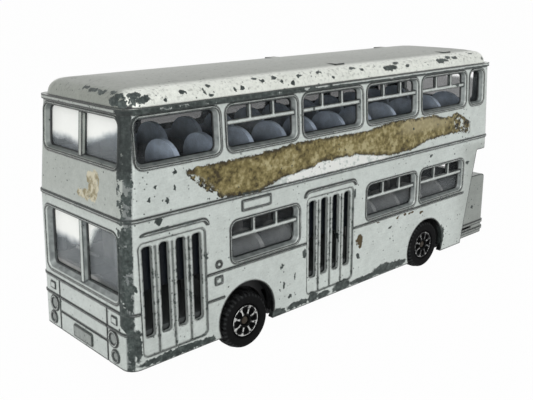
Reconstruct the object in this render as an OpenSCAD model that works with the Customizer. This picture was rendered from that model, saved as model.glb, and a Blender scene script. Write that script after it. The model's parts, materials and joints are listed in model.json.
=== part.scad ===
// Die-cast toy double-decker bus with its engine at the back.
// A one-piece body casting is riveted to a baseplate, and between them sit two seat mouldings and
// two clear window mouldings, stacked from the baseplate to the roof. Four wheels run on two axles.
// +X points to the front, +Y to the side with the doors and +Z up. The origin is on the floor, under
// the middle. A place along the bus is given as its distance behind the foremost point.

/* [Body casting] */
// Length over the front plate and the rear bumper ribs
body_l = 123.6; // [120:0.2:130]
// Width over the flat side panels
body_w = 35.1; // [33:0.1:38]
// Height of the middle of the roof above the floor
roof_z = 57.75; // [57.2:0.05:59]
// Height of the skirt's lower edge above the floor
skirt_z = 3.5; // [3:0.1:4.2]
// Height of the moulding between the decks
belt_z = 33.5; // [32.8:0.1:34.5]
// Height of the rain gutter under the roof
gutter_z = 53.4; // [53.2:0.1:54]
// Thickness of the cast walls
wall = 1.4; // [1:0.05:1.8]
// How far the front leans back from the skirt to the belt
front_lean_low = 1.1; // [0:0.05:2]
// How far the front leans back from the belt to the gutter
front_lean_up = 1.85; // [0.5:0.05:3]
// How far each side leans in from the belt to the gutter
side_lean = 0.95; // [0.3:0.05:1.5]
// Radius of the upright corners
corner_r = 2.6; // [2.2:0.1:3.4]
// Radius of the roof's corners, seen from above
roof_corner_r = 5.2; // [3:0.1:7]
// Rise of the roof's crown above its rounded edge
crown_rise = 0.8; // [0.4:0.05:1.5]

/* [Rear end] */
// Depth from the bumper ribs to the upper deck's back
rear_set = 1.6; // [1:0.1:2.5]
// Height of the underside of the overhanging upper deck
overhang_z = 29.9; // [29.4:0.1:30.6]
// Depth from the bumper ribs to the lower deck's back, at its top
rear_top_set = 7.3; // [6.5:0.1:8.5]
// Depth from the bumper ribs to the lower deck's back, at its foot
rear_foot_set = 12.9; // [12:0.1:14]
// Height of the engine bustle's top
bustle_z = 22.2; // [20:0.1:23]
// Depth from the side panels to the bustle's sides
bustle_inset = 0.45; // [0.2:0.05:1]
// Radius of the bustle's edges
bustle_r = 2; // [1.6:0.1:2.6]

/* [Side windows] */
// Height of the upper deck's window sills
upper_sill_z = 43.1; // [42.6:0.1:44]
// Height of the upper deck's window heads
upper_head_z = 52.15; // [51.4:0.05:52.4]
// Height of the lower deck's window sills
lower_sill_z = 19.5; // [19.3:0.1:20.5]
// Height of the lower deck's window heads
lower_head_z = 28.25; // [27.5:0.05:28.6]
// Place of the first full window bay
first_bay_d = 26.2; // [25.6:0.1:26.8]
// Distance from one bay to the next
bay_pitch = 21.38; // [21:0.02:21.6]
// Width of a bay's window
window_w = 19.4; // [18.6:0.1:19.6]
// Radius of the window corners
window_r = 1.5; // [1:0.1:2]
// Place of the upper deck's front side window
front_quarter_d = 4.7; // [4.4:0.1:6]
// Width of the upper deck's rear side window
rear_quarter_w = 6.6; // [5:0.1:6.8]
// Depth from a window's head to the bar under its vents
vent_drop = 2.9; // [2.4:0.1:3.6]
// Height of the bar under the vents
vent_bar = 0.95; // [0.7:0.05:1.3]
// Width of the posts between the vents
vent_post = 0.85; // [0.6:0.05:1.2]

/* [Windscreens] */
// Width of the lower windscreen over both panes
screen_w = 28.4; // [25:0.2:29]
// Height of the lower windscreen's sill
screen_sill_z = 16.8; // [16.4:0.1:17.4]
// Height of the lower windscreen's head
screen_head_z = 30.6; // [29.5:0.1:31.2]
// Width of the upper windscreen over both panes
upper_screen_w = 28.4; // [25:0.2:29]
// Width of the pillar between two panes
pillar_w = 1.2; // [1:0.1:2]

/* [Doors] */
// Width of a folding door
door_w = 15.6; // [15:0.1:15.8]
// Place of the front door
front_door_d = 3.7; // [3.5:0.1:4]
// Place of the middle door
mid_door_d = 48.3; // [47.8:0.1:48.8]
// Height of the door sills
door_sill_z = 5.75; // [5.4:0.05:6.2]
// Height of the door heads
door_head_z = 28.95; // [28.6:0.05:29.4]
// Leaves in a door
leaves = 4; // [2:1:5]
// Width of the slot in a leaf
slot_w = 2.2; // [1.6:0.1:2.4]
// Height of the slots' lower ends
slot_sill_z = 9.6; // [8.5:0.1:11]
// Height of the slots' upper ends
slot_head_z = 28.1; // [27:0.1:28.3]

/* [Running gear] */
// Radius of a wheel over its tread
wheel_r = 6.45; // [6:0.05:6.8]
// Width of a wheel
wheel_w = 4.6; // [4:0.1:5]
// Depth from the side panels to a wheel's outer face
wheel_inset = 0.6; // [0.4:0.05:1]
// Height of the front axle over the casting's ground line, lower where the nose sits high
front_hub_z = 4.9; // [4.9:0.1:6.5]
// Height of the rear axle over the casting's ground line
rear_hub_z = 6.9; // [6.4:0.1:7]
// Place of the front axle
front_axle_d = 30.2; // [29.8:0.1:30.6]
// Distance from the rear axle to the rear bumper ribs
rear_axle_set = 29.7; // [29.2:0.1:30.4]
// Radius of an axle
axle_r = 0.6; // [0.5:0.05:0.8]
// Running clearance of a wheel on its axle
running_gap = 0.05; // [0.03:0.01:0.08]
// Radius of the wheel arches
arch_r = 7.8; // [7.5:0.1:8.1]
// Height of the centre of the wheel arches
arch_z = 6.5; // [6.2:0.1:6.8]

/* [Mouldings inside] */
// Thickness of the clear windows
glaze_t = 0.8; // [0.6:0.05:1]
// Thickness of the seat mouldings' floors and sides
deck_t = 1; // [0.8:0.05:1.2]
// Clearance between the mouldings and the casting
fit_gap = 0.12; // [0.08:0.01:0.2]
// Height of the lower deck's floor
lower_floor_z = 10.6; // [10.2:0.1:11]
// Height of the lower deck's seat backs
lower_back_z = 22.6; // [21:0.1:24]
// Height of the upper deck's seat backs
upper_back_z = 46; // [44.5:0.1:48]
// Distance from one row of seats to the next
seat_pitch = 9.6; // [9.2:0.1:10]
// Width of a bench
bench_w = 11.2; // [10:0.1:12]

/* [Hidden] */
$fn = 48;

// Cuts run past the faces they open by this much
over = 0.6;
// Fusing pieces reach into what carries them by this much
bite = 0.4;
// Steps in a rounded corner of an outline, in the roof's edge and in its crown
arc_steps = 6;
roof_steps = 7;
crown_steps = 4;
// Half-width of the flat strip along the top of the roof
ridge_y = 1;
// Share of the crown's slope that its ends have
crown_end_share = 0.45;
// Least radius of an outline's corner
least_r = 0.3;

// Raised trim of the casting
front_proud = 0.3;
rib_proud = 0.45;
belt_bead = [0.55, 0.25];
waist_bead = [0.35, 0.2];
gutter_bead = [0.9, 0.45];
frame_bead = [0.5, 0.13];
rail_bead = [0.5, 0.35];
waist_z = 18.5;
window_reveal = [0.9, 0.75, 0.4];
screen_reveal = [1.5, 1.4, 0.5];
upper_screen_reveal = [0.75, 0.65, 0.4];
pane_reveal = 1.0;
upper_pane_reveal = 0.25;
vent_sink = 0.45;
vent_t = 0.75;
pillar_sink = 0.35;
door_sink = 0.3;
door_r = 1.1;
slot_r = 0.7;
groove = 0.3;

// Front trim: heights, and distances from the middle
bar_zs = [15.1, 11];
front_line_z = 7.7;
front_line_y = 9.65;
headlamp_r = 1.75;
headlamp_at = [11.9, 9.05];
foglamp_r = 1.35;
foglamp_at = [12.6, 5.55];
marker_w = 2;
marker_h = 1.5;
marker_at = [12.4, 13.05];
front_plate_w = 7.4;
front_plate_h = 2.6;
front_plate_z = 5.6;
lens_share = 0.68;

// Trim of the side with the doors
side_lamp_d = 22.6;
side_lamp_z = 20.2;
side_lamp_r = 0.8;
flap_d = 22.5;
flap_z = 16.7;
flap_w = 2;
flap_h = 1.8;
step_line_z = 12.65;
step_line_l = 4.6;
blind_d = 29;
blind_w = 8.2;
blind_z = 30.15;
blind_h = 2.3;
rail_lift = 1.9;
rail_drop = 1.5;
rail_r = 1.7;

// Roof ventilators
hatch_d = 64.2;
hatch_rear_set = 16.6;
hatch_y = 9.9;
hatch_l = 3;
hatch_w = 4.4;
hatch_h = 0.45;

// Rear trim
rear_window_w = 24;
rear_low_window_w = 21;
rear_low_sill_z = 23.6;
rear_low_head_z = 28.6;
rear_low_r = 1.2;
rib_zs = [5.4, 7.4];
rib_h = 0.75;
bustle_foot_z = 4.4;
bustle_rake = 0.9;
louvre_w = 14;
louvre_h = 0.5;
louvre_pitch = 1.3;
louvre_count = 5;
louvre_z = 12;
tail_lamp_y = 13.2;
tail_lamp_z = 15.6;
tail_lamp_w = 1.7;
tail_lamp_h = 4;

// Driver's window on the side without doors
cab_d = 5.6;
cab_w = 15.6;
cab_head_z = 29.6;

// Rivets that hold the baseplate
post_r = 2.1;
spigot_r = 1.1;
rivet_r = 1.9;
rivet_h = 0.5;
rivet_gap = 0.2;
spigot_gap = 0.06;
front_post_d = 4.6;
rear_post_set = 5;
front_post_z = 15;
web_t = 1.6;

// Baseplate and axle saddles
base_t = 1.2;
base_sink = 0.3;
base_gap = 0.15;
base_r = 1.5;
saddle_t = 1.6;
saddle_l = 4;
saddle_rise = 1.4;
saddle_gap = 0.03;
wheel_gap = 0.35;
notch_gap = 1;
tunnel_w = 5;
tunnel_h = 0.8;

// Wheels and axles
tread_drop = 0.25;
shoulder_r = 0.7;
tread_notches = 26;
notch_w = 0.45;
notch_depth = 0.28;
notch_l = 1.1;
rim_r = 4.1;
rim_depth = 0.55;
hub_r = 3.55;
hub_sink = 0.2;
hub_cell_count = 8;
hub_cell_r = 0.72;
hub_cell_at = 2.25;
hub_cell_depth = 0.6;
hub_pit_r = 1.15;
hub_pit_depth = 0.7;
axle_head_r = 0.92;
axle_head_h = 0.4;
axle_end_gap = 0.1;
back_r = 4.6;
back_depth = 1.6;
boss_r = 2;

// Seats
seat_t = 1.1;
seat_depth = 4.6;
cushion_h = 4.2;
first_row_d = 15.4;
lower_row_d = 27.2;
back_arch_share = 0.42;
driver_d = 13;
driver_y = -9;
driver_w = 6;
steer_d = 7.4;
steer_z = 19.5;
steer_r = 2.7;
steer_t = 0.6;
steer_tilt = 35;
box_t = 0.8;
box_gap = 0.75;
post_gap = 0.4;
upper_floor_gap = 1.3;

// Heights of the stack of mouldings
base_bottom_z = skirt_z + base_sink;
base_top_z = base_bottom_z + base_t;
lower_ledge_z = lower_sill_z - over;
upper_floor_z = belt_z - upper_floor_gap;
upper_ledge_z = upper_sill_z - over;
glaze_top_z = upper_head_z + over;

// Planes of the outside
front_x = body_l / 2 - front_proud;
rear_x = -body_l / 2 + rear_set;
side_y = body_w / 2;
wheelbase = body_l - front_axle_d - rear_axle_set;
axle_xs = [along(front_axle_d), along(front_axle_d + wheelbase)];
hub_zs = [front_hub_z, rear_hub_z];
hubs = [for (i = [0, 1]) [axle_xs[i], hub_zs[i]]];
hub_mid = (hubs[0] + hubs[1]) / 2;
stance_a = atan((rear_hub_z - front_hub_z) / wheelbase);
wheel_xs = [for (s = [1, -1]) s * norm(hubs[0] - hub_mid)];
lean_a = atan(side_lean / (gutter_z - belt_z));
front_low_a = atan(front_lean_low / (belt_z - skirt_z));
front_up_a = atan(front_lean_up / (gutter_z - belt_z));

// Roof section: an edge arc that runs smoothly into a wide crown arc
shoulder_z = gutter_z + gutter_bead[0] / 2;
roof_r = roof_z - crown_rise - shoulder_z;
shoulder_y = side_y - side_lean - roof_r;
crown_q = roof_z - shoulder_z;
crown_r = (crown_q * crown_q + shoulder_y * shoulder_y - roof_r * roof_r) / (2 * (crown_q - roof_r));
crown_a = atan2(shoulder_z - (roof_z - crown_r), shoulder_y);

// Windows of the upper deck, as places and widths
pillar = bay_pitch - window_w;
bays = floor((body_l - rear_set - corner_r - rear_quarter_w - first_bay_d) / bay_pitch);
last_bay_end_d = first_bay_d + (bays - 1) * bay_pitch + window_w;
quarter_windows = [[front_quarter_d, first_bay_d - pillar - front_quarter_d],
                   [last_bay_end_d + pillar, rear_quarter_w]];
bay_windows = [for (i = [0:bays - 1]) [first_bay_d + i * bay_pitch, window_w]];
near_low_windows = [for (w = bay_windows) if (abs(w[0] - mid_door_d) > window_w / 2) w];
door_ds = [front_door_d, mid_door_d];

// Rows of seats: as many as fit, with a gap by the middle door
upper_rows = floor((body_l - rear_set - wall - seat_depth - first_row_d) / seat_pitch);
upper_ds = [for (k = [0:upper_rows]) first_row_d + k * seat_pitch];
lower_rows = floor((body_l - rear_foot_set - seat_depth - lower_row_d) / seat_pitch);
lower_ds = [for (k = [0:lower_rows]) lower_row_d + k * seat_pitch];
lower_near_ds = [for (d = lower_ds) if (d < mid_door_d || d - seat_t > mid_door_d + door_w) d];

function along(d) = body_l / 2 - d;

// Outline of a rectangle with round corners, from its low corner to its high one
function round_box(a, b, r) =
    let (q = max(min(r, (b.x - a.x) / 2, (b.y - a.y) / 2), least_r / 2))
    [for (c = [0:3], s = [0:arc_steps])
        let (t = 90 * (c + s / arc_steps),
             cx = c == 0 || c == 3 ? b.x - q : a.x + q,
             cy = c < 2 ? b.y - q : a.y + q)
        [cx + q * cos(t), cy + q * sin(t)]];

function at_height(plan, z) = [for (p = plan) [p.x, p.y, z]];

// Where the skin stands at a height
function front_at(z) =
    front_x - (z < belt_z ? front_lean_low * (z - skirt_z) / (belt_z - skirt_z)
                          : front_lean_low + front_lean_up * (z - belt_z) / (gutter_z - belt_z));
function half_w_at(z) = side_y - side_lean * max(0, z - belt_z) / (gutter_z - belt_z);
function rear_low_at(z) =
    -body_l / 2 + rear_foot_set
    - (rear_foot_set - rear_top_set) * (z - skirt_z) / (overhang_z - skirt_z);

// Plan of the body at a height, drawn in by inset all round
function body_plan(z, inset) =
    round_box([rear_x + inset, inset - half_w_at(z)], [front_at(z) - inset, half_w_at(z) - inset],
              max(corner_r - inset, least_r));

// Plan of the roof where it is drawn in by step from the top of the walls. Past its edge it draws in
// less at the ends than at the sides.
function roof_plan(step) =
    let (end_step = min(step, roof_r) + max(0, step - roof_r) * crown_end_share)
    round_box([rear_x + end_step, step - half_w_at(gutter_z)],
              [front_at(gutter_z) - end_step, half_w_at(gutter_z) - step],
              max(roof_corner_r - step, least_r));

// Levels of the roof's edge and crown, drawn in by inset, as steps in from the wall and heights
function edge_levels(inset) = [for (k = [0:roof_steps])
    let (a = crown_a * k / roof_steps)
    [inset + (roof_r - inset) * (1 - cos(a)), shoulder_z + (roof_r - inset) * sin(a)]];
function crown_levels(inset) =
    let (edge_y = half_w_at(gutter_z) - edge_levels(inset)[roof_steps][0])
    [for (k = [1:crown_steps])
        let (y = edge_y + (ridge_y - edge_y) * k / crown_steps)
        [half_w_at(gutter_z) - y, roof_z - crown_r + sqrt(pow(crown_r - inset, 2) - y * y)]];

// Solid through a stack of outlines that all have the same number of points
module loft(rings) {
    n = len(rings[0]);
    m = len(rings);
    polyhedron(
        points = [for (r = rings, p = r) p],
        faces = concat(
            [[for (i = [0:n - 1]) i]],
            [for (k = [0:m - 2], i = [0:n - 1])
                [k * n + i, (k + 1) * n + i, (k + 1) * n + (i + 1) % n]],
            [for (k = [0:m - 2], i = [0:n - 1])
                [k * n + i, (k + 1) * n + (i + 1) % n, k * n + (i + 1) % n]],
            [[for (i = [n - 1:-1:0]) (m - 1) * n + i]]));
}

// The body's walls between two heights, drawn in by inset
module body_loft(inset, z0, z1) {
    zs = concat([z0], z0 < belt_z && z1 > belt_z ? [belt_z] : [], [z1]);
    loft([for (z = zs) at_height(body_plan(z, inset), z)]);
}

// The whole body from a height up to its roof, drawn in by inset, without its bustle
module shell_loft(inset, z0) {
    difference() {
        loft(concat([for (z = [z0, belt_z, gutter_z]) at_height(body_plan(z, inset), z)],
                    [for (p = concat(edge_levels(inset), crown_levels(inset)))
                        at_height(roof_plan(p[0]), p[1])]));
        rear_cut(inset);
    }
}

// Prisms from an outline in XZ along Y, and from an outline in YZ along X
module prism_y(points, y0, y1) {
    translate([0, y1, 0]) rotate([90, 0, 0]) linear_extrude(y1 - y0) polygon(points);
}

module prism_x(points, x0, x1) {
    translate([x0, 0, 0]) rotate([90, 0, 90]) linear_extrude(x1 - x0) polygon(points);
}

// A window outline from its place, width, sill and head, let out by grow
function side_opening(w, z0, z1, r, grow = 0) =
    round_box([along(w[0] + w[1]) - grow, z0 - grow], [along(w[0]) + grow, z1 + grow], r + grow);

// Frames whose zero plane is the skin, with the outside on the positive side
module low_side() { translate([0, side_y, 0]) children(); }
module up_side() {
    translate([0, side_y, belt_z]) rotate([lean_a, 0, 0]) translate([0, 0, -belt_z]) children();
}
module low_front() {
    translate([front_x, 0, skirt_z]) rotate([0, -front_low_a, 0]) translate([0, 0, -skirt_z]) children();
}
module up_front() {
    translate([front_x - front_lean_low, 0, belt_z]) rotate([0, -front_up_a, 0])
        translate([0, 0, -belt_z]) children();
}

// Sets the casting and what it holds on the wheels, which stand level
module stance() {
    translate([0, 0, wheel_r]) rotate([0, -stance_a, 0])
        translate([-hub_mid.x, 0, -hub_mid.y]) children();
}

module both_sides() {
    children();
    mirror([0, 1, 0]) children();
}
module far_side() { mirror([0, 1, 0]) children(); }

// What the casting loses where the lower deck's back slopes in under the overhang
module rear_cut(inset) {
    foot_z = skirt_z - over;
    edge_r = corner_r / 2;
    low_x = -body_l / 2 - over;
    arc = [for (k = [0:arc_steps])
        let (t = 270 - 90 * k / arc_steps)
        [rear_x + edge_r + edge_r * cos(t) + inset, overhang_z + inset + edge_r + edge_r * sin(t)]];
    prism_y(concat([[low_x, foot_z], [rear_low_at(foot_z) + inset, foot_z],
                    [rear_low_at(overhang_z) + inset, overhang_z + inset]],
                   arc, [[low_x, overhang_z + inset + edge_r]]),
            -side_y - over, side_y + over);
}

// The lower deck's walls between two heights, with the sloping back
module low_loft(inset, z0, z1) {
    difference() {
        body_loft(inset, z0, z1);
        rear_cut(inset);
    }
}

// Engine bustle, drawn in by inset, down to a height
module bustle(inset, z0) {
    back_x = -body_l / 2 + rib_proud + inset;
    top_x = back_x + bustle_rake;
    top_z = bustle_z - inset;
    r = bustle_r - min(inset, bustle_r - least_r);
    half_w = side_y - bustle_inset - inset;
    reach = wall / 2 - inset * 2;
    arc = [for (k = [0:arc_steps])
        let (t = 90 + 90 * k / arc_steps)
        [top_x + r + r * cos(t), top_z - r + r * sin(t)]];
    intersection() {
        prism_y(concat([[rear_low_at(z0) + reach, z0], [rear_low_at(top_z) + reach, top_z]],
                       arc, [[back_x, z0]]),
                -half_w, half_w);
        translate([0, 0, z0]) linear_extrude(top_z - z0)
            polygon(round_box([back_x, -half_w], [0, half_w], r));
    }
}

// Bumper ribs round the foot of the bustle
module bumper_ribs() {
    half_w = side_y - bustle_inset + rib_proud / 2;
    for (z = rib_zs)
        intersection() {
            translate([0, 0, z]) linear_extrude(rib_h)
                polygon(round_box([-body_l / 2, -half_w], [0, half_w], bustle_r + rib_proud / 2));
            prism_y([[-body_l / 2 - over, skirt_z], [rear_low_at(skirt_z), skirt_z],
                     [rear_low_at(bustle_z), bustle_z], [-body_l / 2 - over, bustle_z]],
                    -side_y - over, side_y + over);
        }
}

// A raised plate that the hole of a side window leaves as its frame
module window_frame(w, z0, z1) {
    prism_y(side_opening(w, z0, z1, window_r, frame_bead[0]), -bite, frame_bead[1]);
}

// An outline that closes in with depth: by a reveal at the sides, at the sill and at the head
function sloped_box(a, b, r, reveal, depth) =
    let (k = depth / wall)
    round_box([a.x + reveal[0] * k, a.y + reveal[1] * k], [b.x - reveal[0] * k, b.y - reveal[2] * k],
              max(r - reveal[2] * k, least_r));

// Holes through a side and through the front, whose edges slope in to the clear moulding
module sloped_hole_y(a, b, r, reveal) {
    loft([for (y = [over, -wall - over]) [for (p = sloped_box(a, b, r, reveal, -y)) [p.x, y, p.y]]]);
}

module sloped_hole_x(a, b, r, reveal) {
    loft([for (x = [-wall - over, over]) [for (p = sloped_box(a, b, r, reveal, -x)) [x, p.x, p.y]]]);
}

// A side window's hole, with the bars of its vents left standing
module window_hole(w, z0, z1, vents) {
    bar_z = z1 - vent_drop;
    difference() {
        sloped_hole_y([along(w[0] + w[1]), z0], [along(w[0]), z1], window_r, window_reveal);
        if (vents) {
            bar_y = -vent_sink - vent_t;
            translate([along(w[0] + w[1]) - over, bar_y, bar_z - vent_bar])
                cube([w[1] + 2 * over, vent_t, vent_bar]);
            for (k = [1, 2])
                translate([along(w[0] + w[1] * k / 3) - vent_post / 2, bar_y, bar_z - vent_bar / 2])
                    cube([vent_post, vent_t, vent_drop + vent_bar]);
        }
    }
}

// A folding door: a sunk panel, grooves between its leaves and a slot in each leaf
module door_cut(d) {
    leaf_w = door_w / leaves;
    prism_y(side_opening([d, door_w], door_sill_z, door_head_z, door_r), -door_sink, over);
    for (k = [1:leaves - 1])
        translate([along(d + leaf_w * k) - groove / 2, -door_sink - groove, door_sill_z])
            cube([groove, groove + over, door_head_z - door_sill_z - door_r]);
    for (k = [0:leaves - 1])
        prism_y(side_opening([d + leaf_w * (k + 1 / 2) - slot_w / 2, slot_w],
                             slot_sill_z, slot_head_z, slot_r),
                -wall - over, over);
}

// A drip rail over a door, turned down at its rear end and, if both, at its front end
module drip_rail(d, both) {
    top_z = door_head_z + rail_lift;
    ends = both ? rail_lift / 2 : 0;
    front = d - ends;
    width = door_w + rail_lift / 2 + ends;
    cut = rail_bead[0];
    difference() {
        prism_y(side_opening([front, width], top_z - rail_drop - rail_r, top_z, rail_r),
                -bite, rail_bead[1]);
        prism_y(side_opening([front + (both ? cut : -over), width - (both ? 2 * cut : cut - over)],
                             top_z - rail_drop - 2 * rail_r, top_z - cut, rail_r - cut),
                -bite - over, over);
        translate([along(front + width) - over, -bite - over, top_z - rail_drop - 2 * rail_r])
            cube([width + 2 * over, bite + 2 * over, 2 * rail_r]);
    }
}

// A strip of moulding along a side, between two places
module side_strip(d0, d1, z, bead) {
    translate([along(d1), -bite, z - bead[0] / 2]) cube([d1 - d0, bite + bead[1], bead[0]]);
}

// A raised rectangle with a sunk middle, on a side
module side_panel(d, z, w, h, rise) {
    difference() {
        prism_y(side_opening([d, w], z, z + h, least_r), -bite, rise);
        prism_y(side_opening([d + groove, w - 2 * groove], z + groove, z + h - groove, least_r),
                rise / 2, over);
    }
}

// A lamp that faces +X: a ring round a shallow lens
module front_lamp(at, r, rise) {
    translate([-bite, at.x, at.y]) rotate([0, 90, 0])
        difference() {
            cylinder(h = bite + rise, r = r);
            translate([0, 0, bite + rise / 3]) cylinder(h = over + rise, r = r * lens_share);
        }
}

// A windscreen of two panes, which leaves a pillar between them a little behind the skin
module screen_hole(w, z0, z1, reveal, pane) {
    difference() {
        sloped_hole_x([-w / 2, z0], [w / 2, z1], window_r, reveal);
        screen_pillar(z0 - over, z1 + over, pane);
    }
}

module screen_pillar(z0, z1, pane) {
    depth = wall + 2 * over;
    half = pillar_w / 2;
    foot = half + pane * (depth - pillar_sink) / wall;
    translate([0, 0, z0]) linear_extrude(z1 - z0)
        polygon([[-pillar_sink, -half], [-pillar_sink, half], [-depth, foot], [-depth, -foot]]);
}

module screen_frame(w, z0, z1) {
    bead = frame_bead[0];
    prism_x(round_box([-w / 2 - bead, z0 - bead], [w / 2 + bead, z1 + bead], window_r + bead),
            -bite, frame_bead[1]);
}

// Trim of the front: two bars, a plate, lamps and markers
module front_trim() {
    low_front() {
        for (z = bar_zs)
            translate([-bite, corner_r - side_y, z - waist_bead[0] / 2])
                cube([bite + waist_bead[1], 2 * (side_y - corner_r), waist_bead[0]]);
        prism_x(round_box([-front_plate_w / 2, front_plate_z - front_plate_h / 2],
                          [front_plate_w / 2, front_plate_z + front_plate_h / 2], least_r),
                -bite, front_proud);
        both_sides() {
            front_lamp(headlamp_at, headlamp_r, front_proud);
            front_lamp(foglamp_at, foglamp_r, front_proud);
            translate([-bite, marker_at.x - marker_w / 2, marker_at.y - marker_h / 2])
                cube([bite + waist_bead[1], marker_w, marker_h]);
        }
    }
    // The bars go on round the corners as far as the doors
    both_sides()
        for (z = bar_zs)
            intersection() {
                translate([0, 0, z - waist_bead[0] / 2]) linear_extrude(waist_bead[0])
                    polygon(body_plan(z, -waist_bead[1]));
                translate([along(front_door_d) + groove, side_y - corner_r - bite, 0])
                    cube([front_door_d, corner_r + bite + over, belt_z]);
            }
}

// Lines sunk into the front
module front_grooves() {
    top_z = bar_zs[0];
    low_front() {
        both_sides()
            translate([-groove / 2, front_line_y - groove / 2, skirt_z])
                cube([groove + over, groove, top_z - skirt_z - waist_bead[0]]);
        translate([-groove / 2, -front_line_y, front_line_z])
            cube([groove + over, 2 * front_line_y, groove]);
    }
}

// Trim that runs round the whole casting or along its sides
module side_trim() {
    translate([0, 0, belt_z - belt_bead[0] / 2]) linear_extrude(belt_bead[0])
        polygon(body_plan(belt_z, -belt_bead[1]));
    translate([0, 0, gutter_z - gutter_bead[0] / 2]) linear_extrude(gutter_bead[0])
        polygon(body_plan(gutter_z, -gutter_bead[1]));
    rear_d = body_l - rear_foot_set;
    low_side() {
        side_strip(front_door_d + door_w + groove, mid_door_d - groove, waist_z, waist_bead);
        side_strip(mid_door_d + door_w + groove, rear_d, waist_z, waist_bead);
        side_strip(front_door_d + door_w + groove, front_door_d + door_w + step_line_l, step_line_z,
                   waist_bead);
        drip_rail(front_door_d, false);
        drip_rail(mid_door_d, true);
        side_panel(blind_d, blind_z, blind_w, blind_h, waist_bead[1]);
        side_panel(flap_d - flap_w / 2, flap_z - flap_h / 2, flap_w, flap_h, waist_bead[1]);
        translate([along(side_lamp_d), -bite, side_lamp_z]) rotate([-90, 0, 0])
            difference() {
                cylinder(h = bite + front_proud, r = side_lamp_r);
                translate([0, 0, bite + front_proud / 3]) cylinder(h = over, r = side_lamp_r * lens_share);
            }
        for (w = near_low_windows) window_frame(w, lower_sill_z, lower_head_z);
    }
    far_side() low_side() {
        side_strip(front_door_d + front_proud, rear_d, waist_z, waist_bead);
        for (w = bay_windows) window_frame(w, lower_sill_z, lower_head_z);
        window_frame([cab_d, cab_w], lower_sill_z, cab_head_z);
    }
    both_sides() up_side()
        for (w = concat(bay_windows, quarter_windows)) window_frame(w, upper_sill_z, upper_head_z);
    up_front() screen_frame(upper_screen_w, upper_sill_z, upper_head_z);
    low_front() screen_frame(screen_w, screen_sill_z, screen_head_z);
}

// Every hole for a window, door or windscreen
module openings() {
    both_sides() up_side() {
        for (w = bay_windows) window_hole(w, upper_sill_z, upper_head_z, true);
        for (w = quarter_windows) window_hole(w, upper_sill_z, upper_head_z, false);
    }
    low_side() {
        for (w = near_low_windows) window_hole(w, lower_sill_z, lower_head_z, true);
        for (d = door_ds) door_cut(d);
    }
    far_side() low_side() {
        for (w = bay_windows) window_hole(w, lower_sill_z, lower_head_z, true);
        window_hole([cab_d, cab_w], lower_sill_z, cab_head_z, false);
    }
    up_front() screen_hole(upper_screen_w, upper_sill_z, upper_head_z, upper_screen_reveal, upper_pane_reveal);
    low_front() screen_hole(screen_w, screen_sill_z, screen_head_z, screen_reveal, pane_reveal);
    prism_x(round_box([-rear_window_w / 2, upper_sill_z], [rear_window_w / 2, upper_head_z], window_r),
            rear_x - over, rear_x + wall + over);
    prism_x(round_box([-rear_low_window_w / 2, rear_low_sill_z],
                      [rear_low_window_w / 2, rear_low_head_z], rear_low_r),
            -body_l / 2, rear_low_at(rear_low_sill_z) + 2 * wall);
}

// Louvres and lamps on the back of the bustle
module rear_details() {
    back_x = -body_l / 2 + rib_proud;
    for (k = [0:louvre_count - 1])
        translate([back_x - over, -louvre_w / 2, louvre_z + k * louvre_pitch])
            cube([over + bustle_rake + groove, louvre_w, louvre_h]);
}

module tail_lamps() {
    back_x = -body_l / 2 + rib_proud;
    both_sides()
        translate([back_x, tail_lamp_y - tail_lamp_w / 2, tail_lamp_z - tail_lamp_h / 2])
            cube([bustle_rake + bite, tail_lamp_w, tail_lamp_h]);
}

// Plan of the baseplate, let out by grow
function base_plan(grow) =
    let (half_w = side_y - bustle_inset - wall - base_gap + grow)
    round_box([rib_proud + wall + base_gap - body_l / 2 - grow, -half_w],
              [front_at(skirt_z) - wall - base_gap + grow, half_w], base_r);

// A place for each rivet, with the height where its post starts
rivet_posts = [[along(front_post_d), front_post_z], [rear_post_set - body_l / 2, bustle_z - wall / 2]];

module rivet_post(top_z) {
    head_z = base_bottom_z;
    translate([0, 0, base_top_z]) cylinder(h = top_z - base_top_z, r = post_r);
    translate([0, 0, head_z + rivet_h / 2]) cylinder(h = base_t, r = spigot_r);
    translate([0, 0, head_z]) cylinder(h = rivet_h, r = rivet_r);
}

// Web that ties the front post to the front wall
module post_web(grow) {
    x = along(front_post_d);
    translate([x, -web_t / 2 - grow, base_top_z])
        cube([front_at(front_post_z) - wall / 2 - x, web_t + 2 * grow, front_post_z - base_top_z + grow]);
}

module body_casting() {
    stance() color([0.78, 0.79, 0.78]) {
        difference() {
            union() {
                shell_loft(0, skirt_z);
                bustle(0, bustle_foot_z);
                bumper_ribs();
                tail_lamps();
                side_trim();
                front_trim();
                both_sides()
                    for (d = [hatch_d, body_l - hatch_rear_set])
                        translate([along(d) - hatch_l / 2, hatch_y - hatch_w / 2,
                                   shoulder_z + roof_r - wall / 2])
                            cube([hatch_l, hatch_w, hatch_h + wall / 2]);
            }
            shell_loft(wall, skirt_z - over);
            bustle(wall, bustle_foot_z - over);
            translate([0, 0, skirt_z - over]) linear_extrude(over + base_sink + base_t)
                polygon(base_plan(base_gap));
            openings();
            front_grooves();
            rear_details();
            both_sides()
                for (x = axle_xs)
                    translate([x, side_y - wall - over, arch_z]) rotate([-90, 0, 0])
                        cylinder(h = wall + 2 * over, r = arch_r);
        }
        for (p = rivet_posts) translate([p[0], 0, 0]) rivet_post(p[1]);
        post_web(0);
    }
}

// Wheel track: the planes of a wheel's outer and inner faces
wheel_out_y = side_y - wheel_inset;
wheel_in_y = wheel_out_y - wheel_w;
saddle_y = wheel_in_y - wheel_gap;

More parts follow.
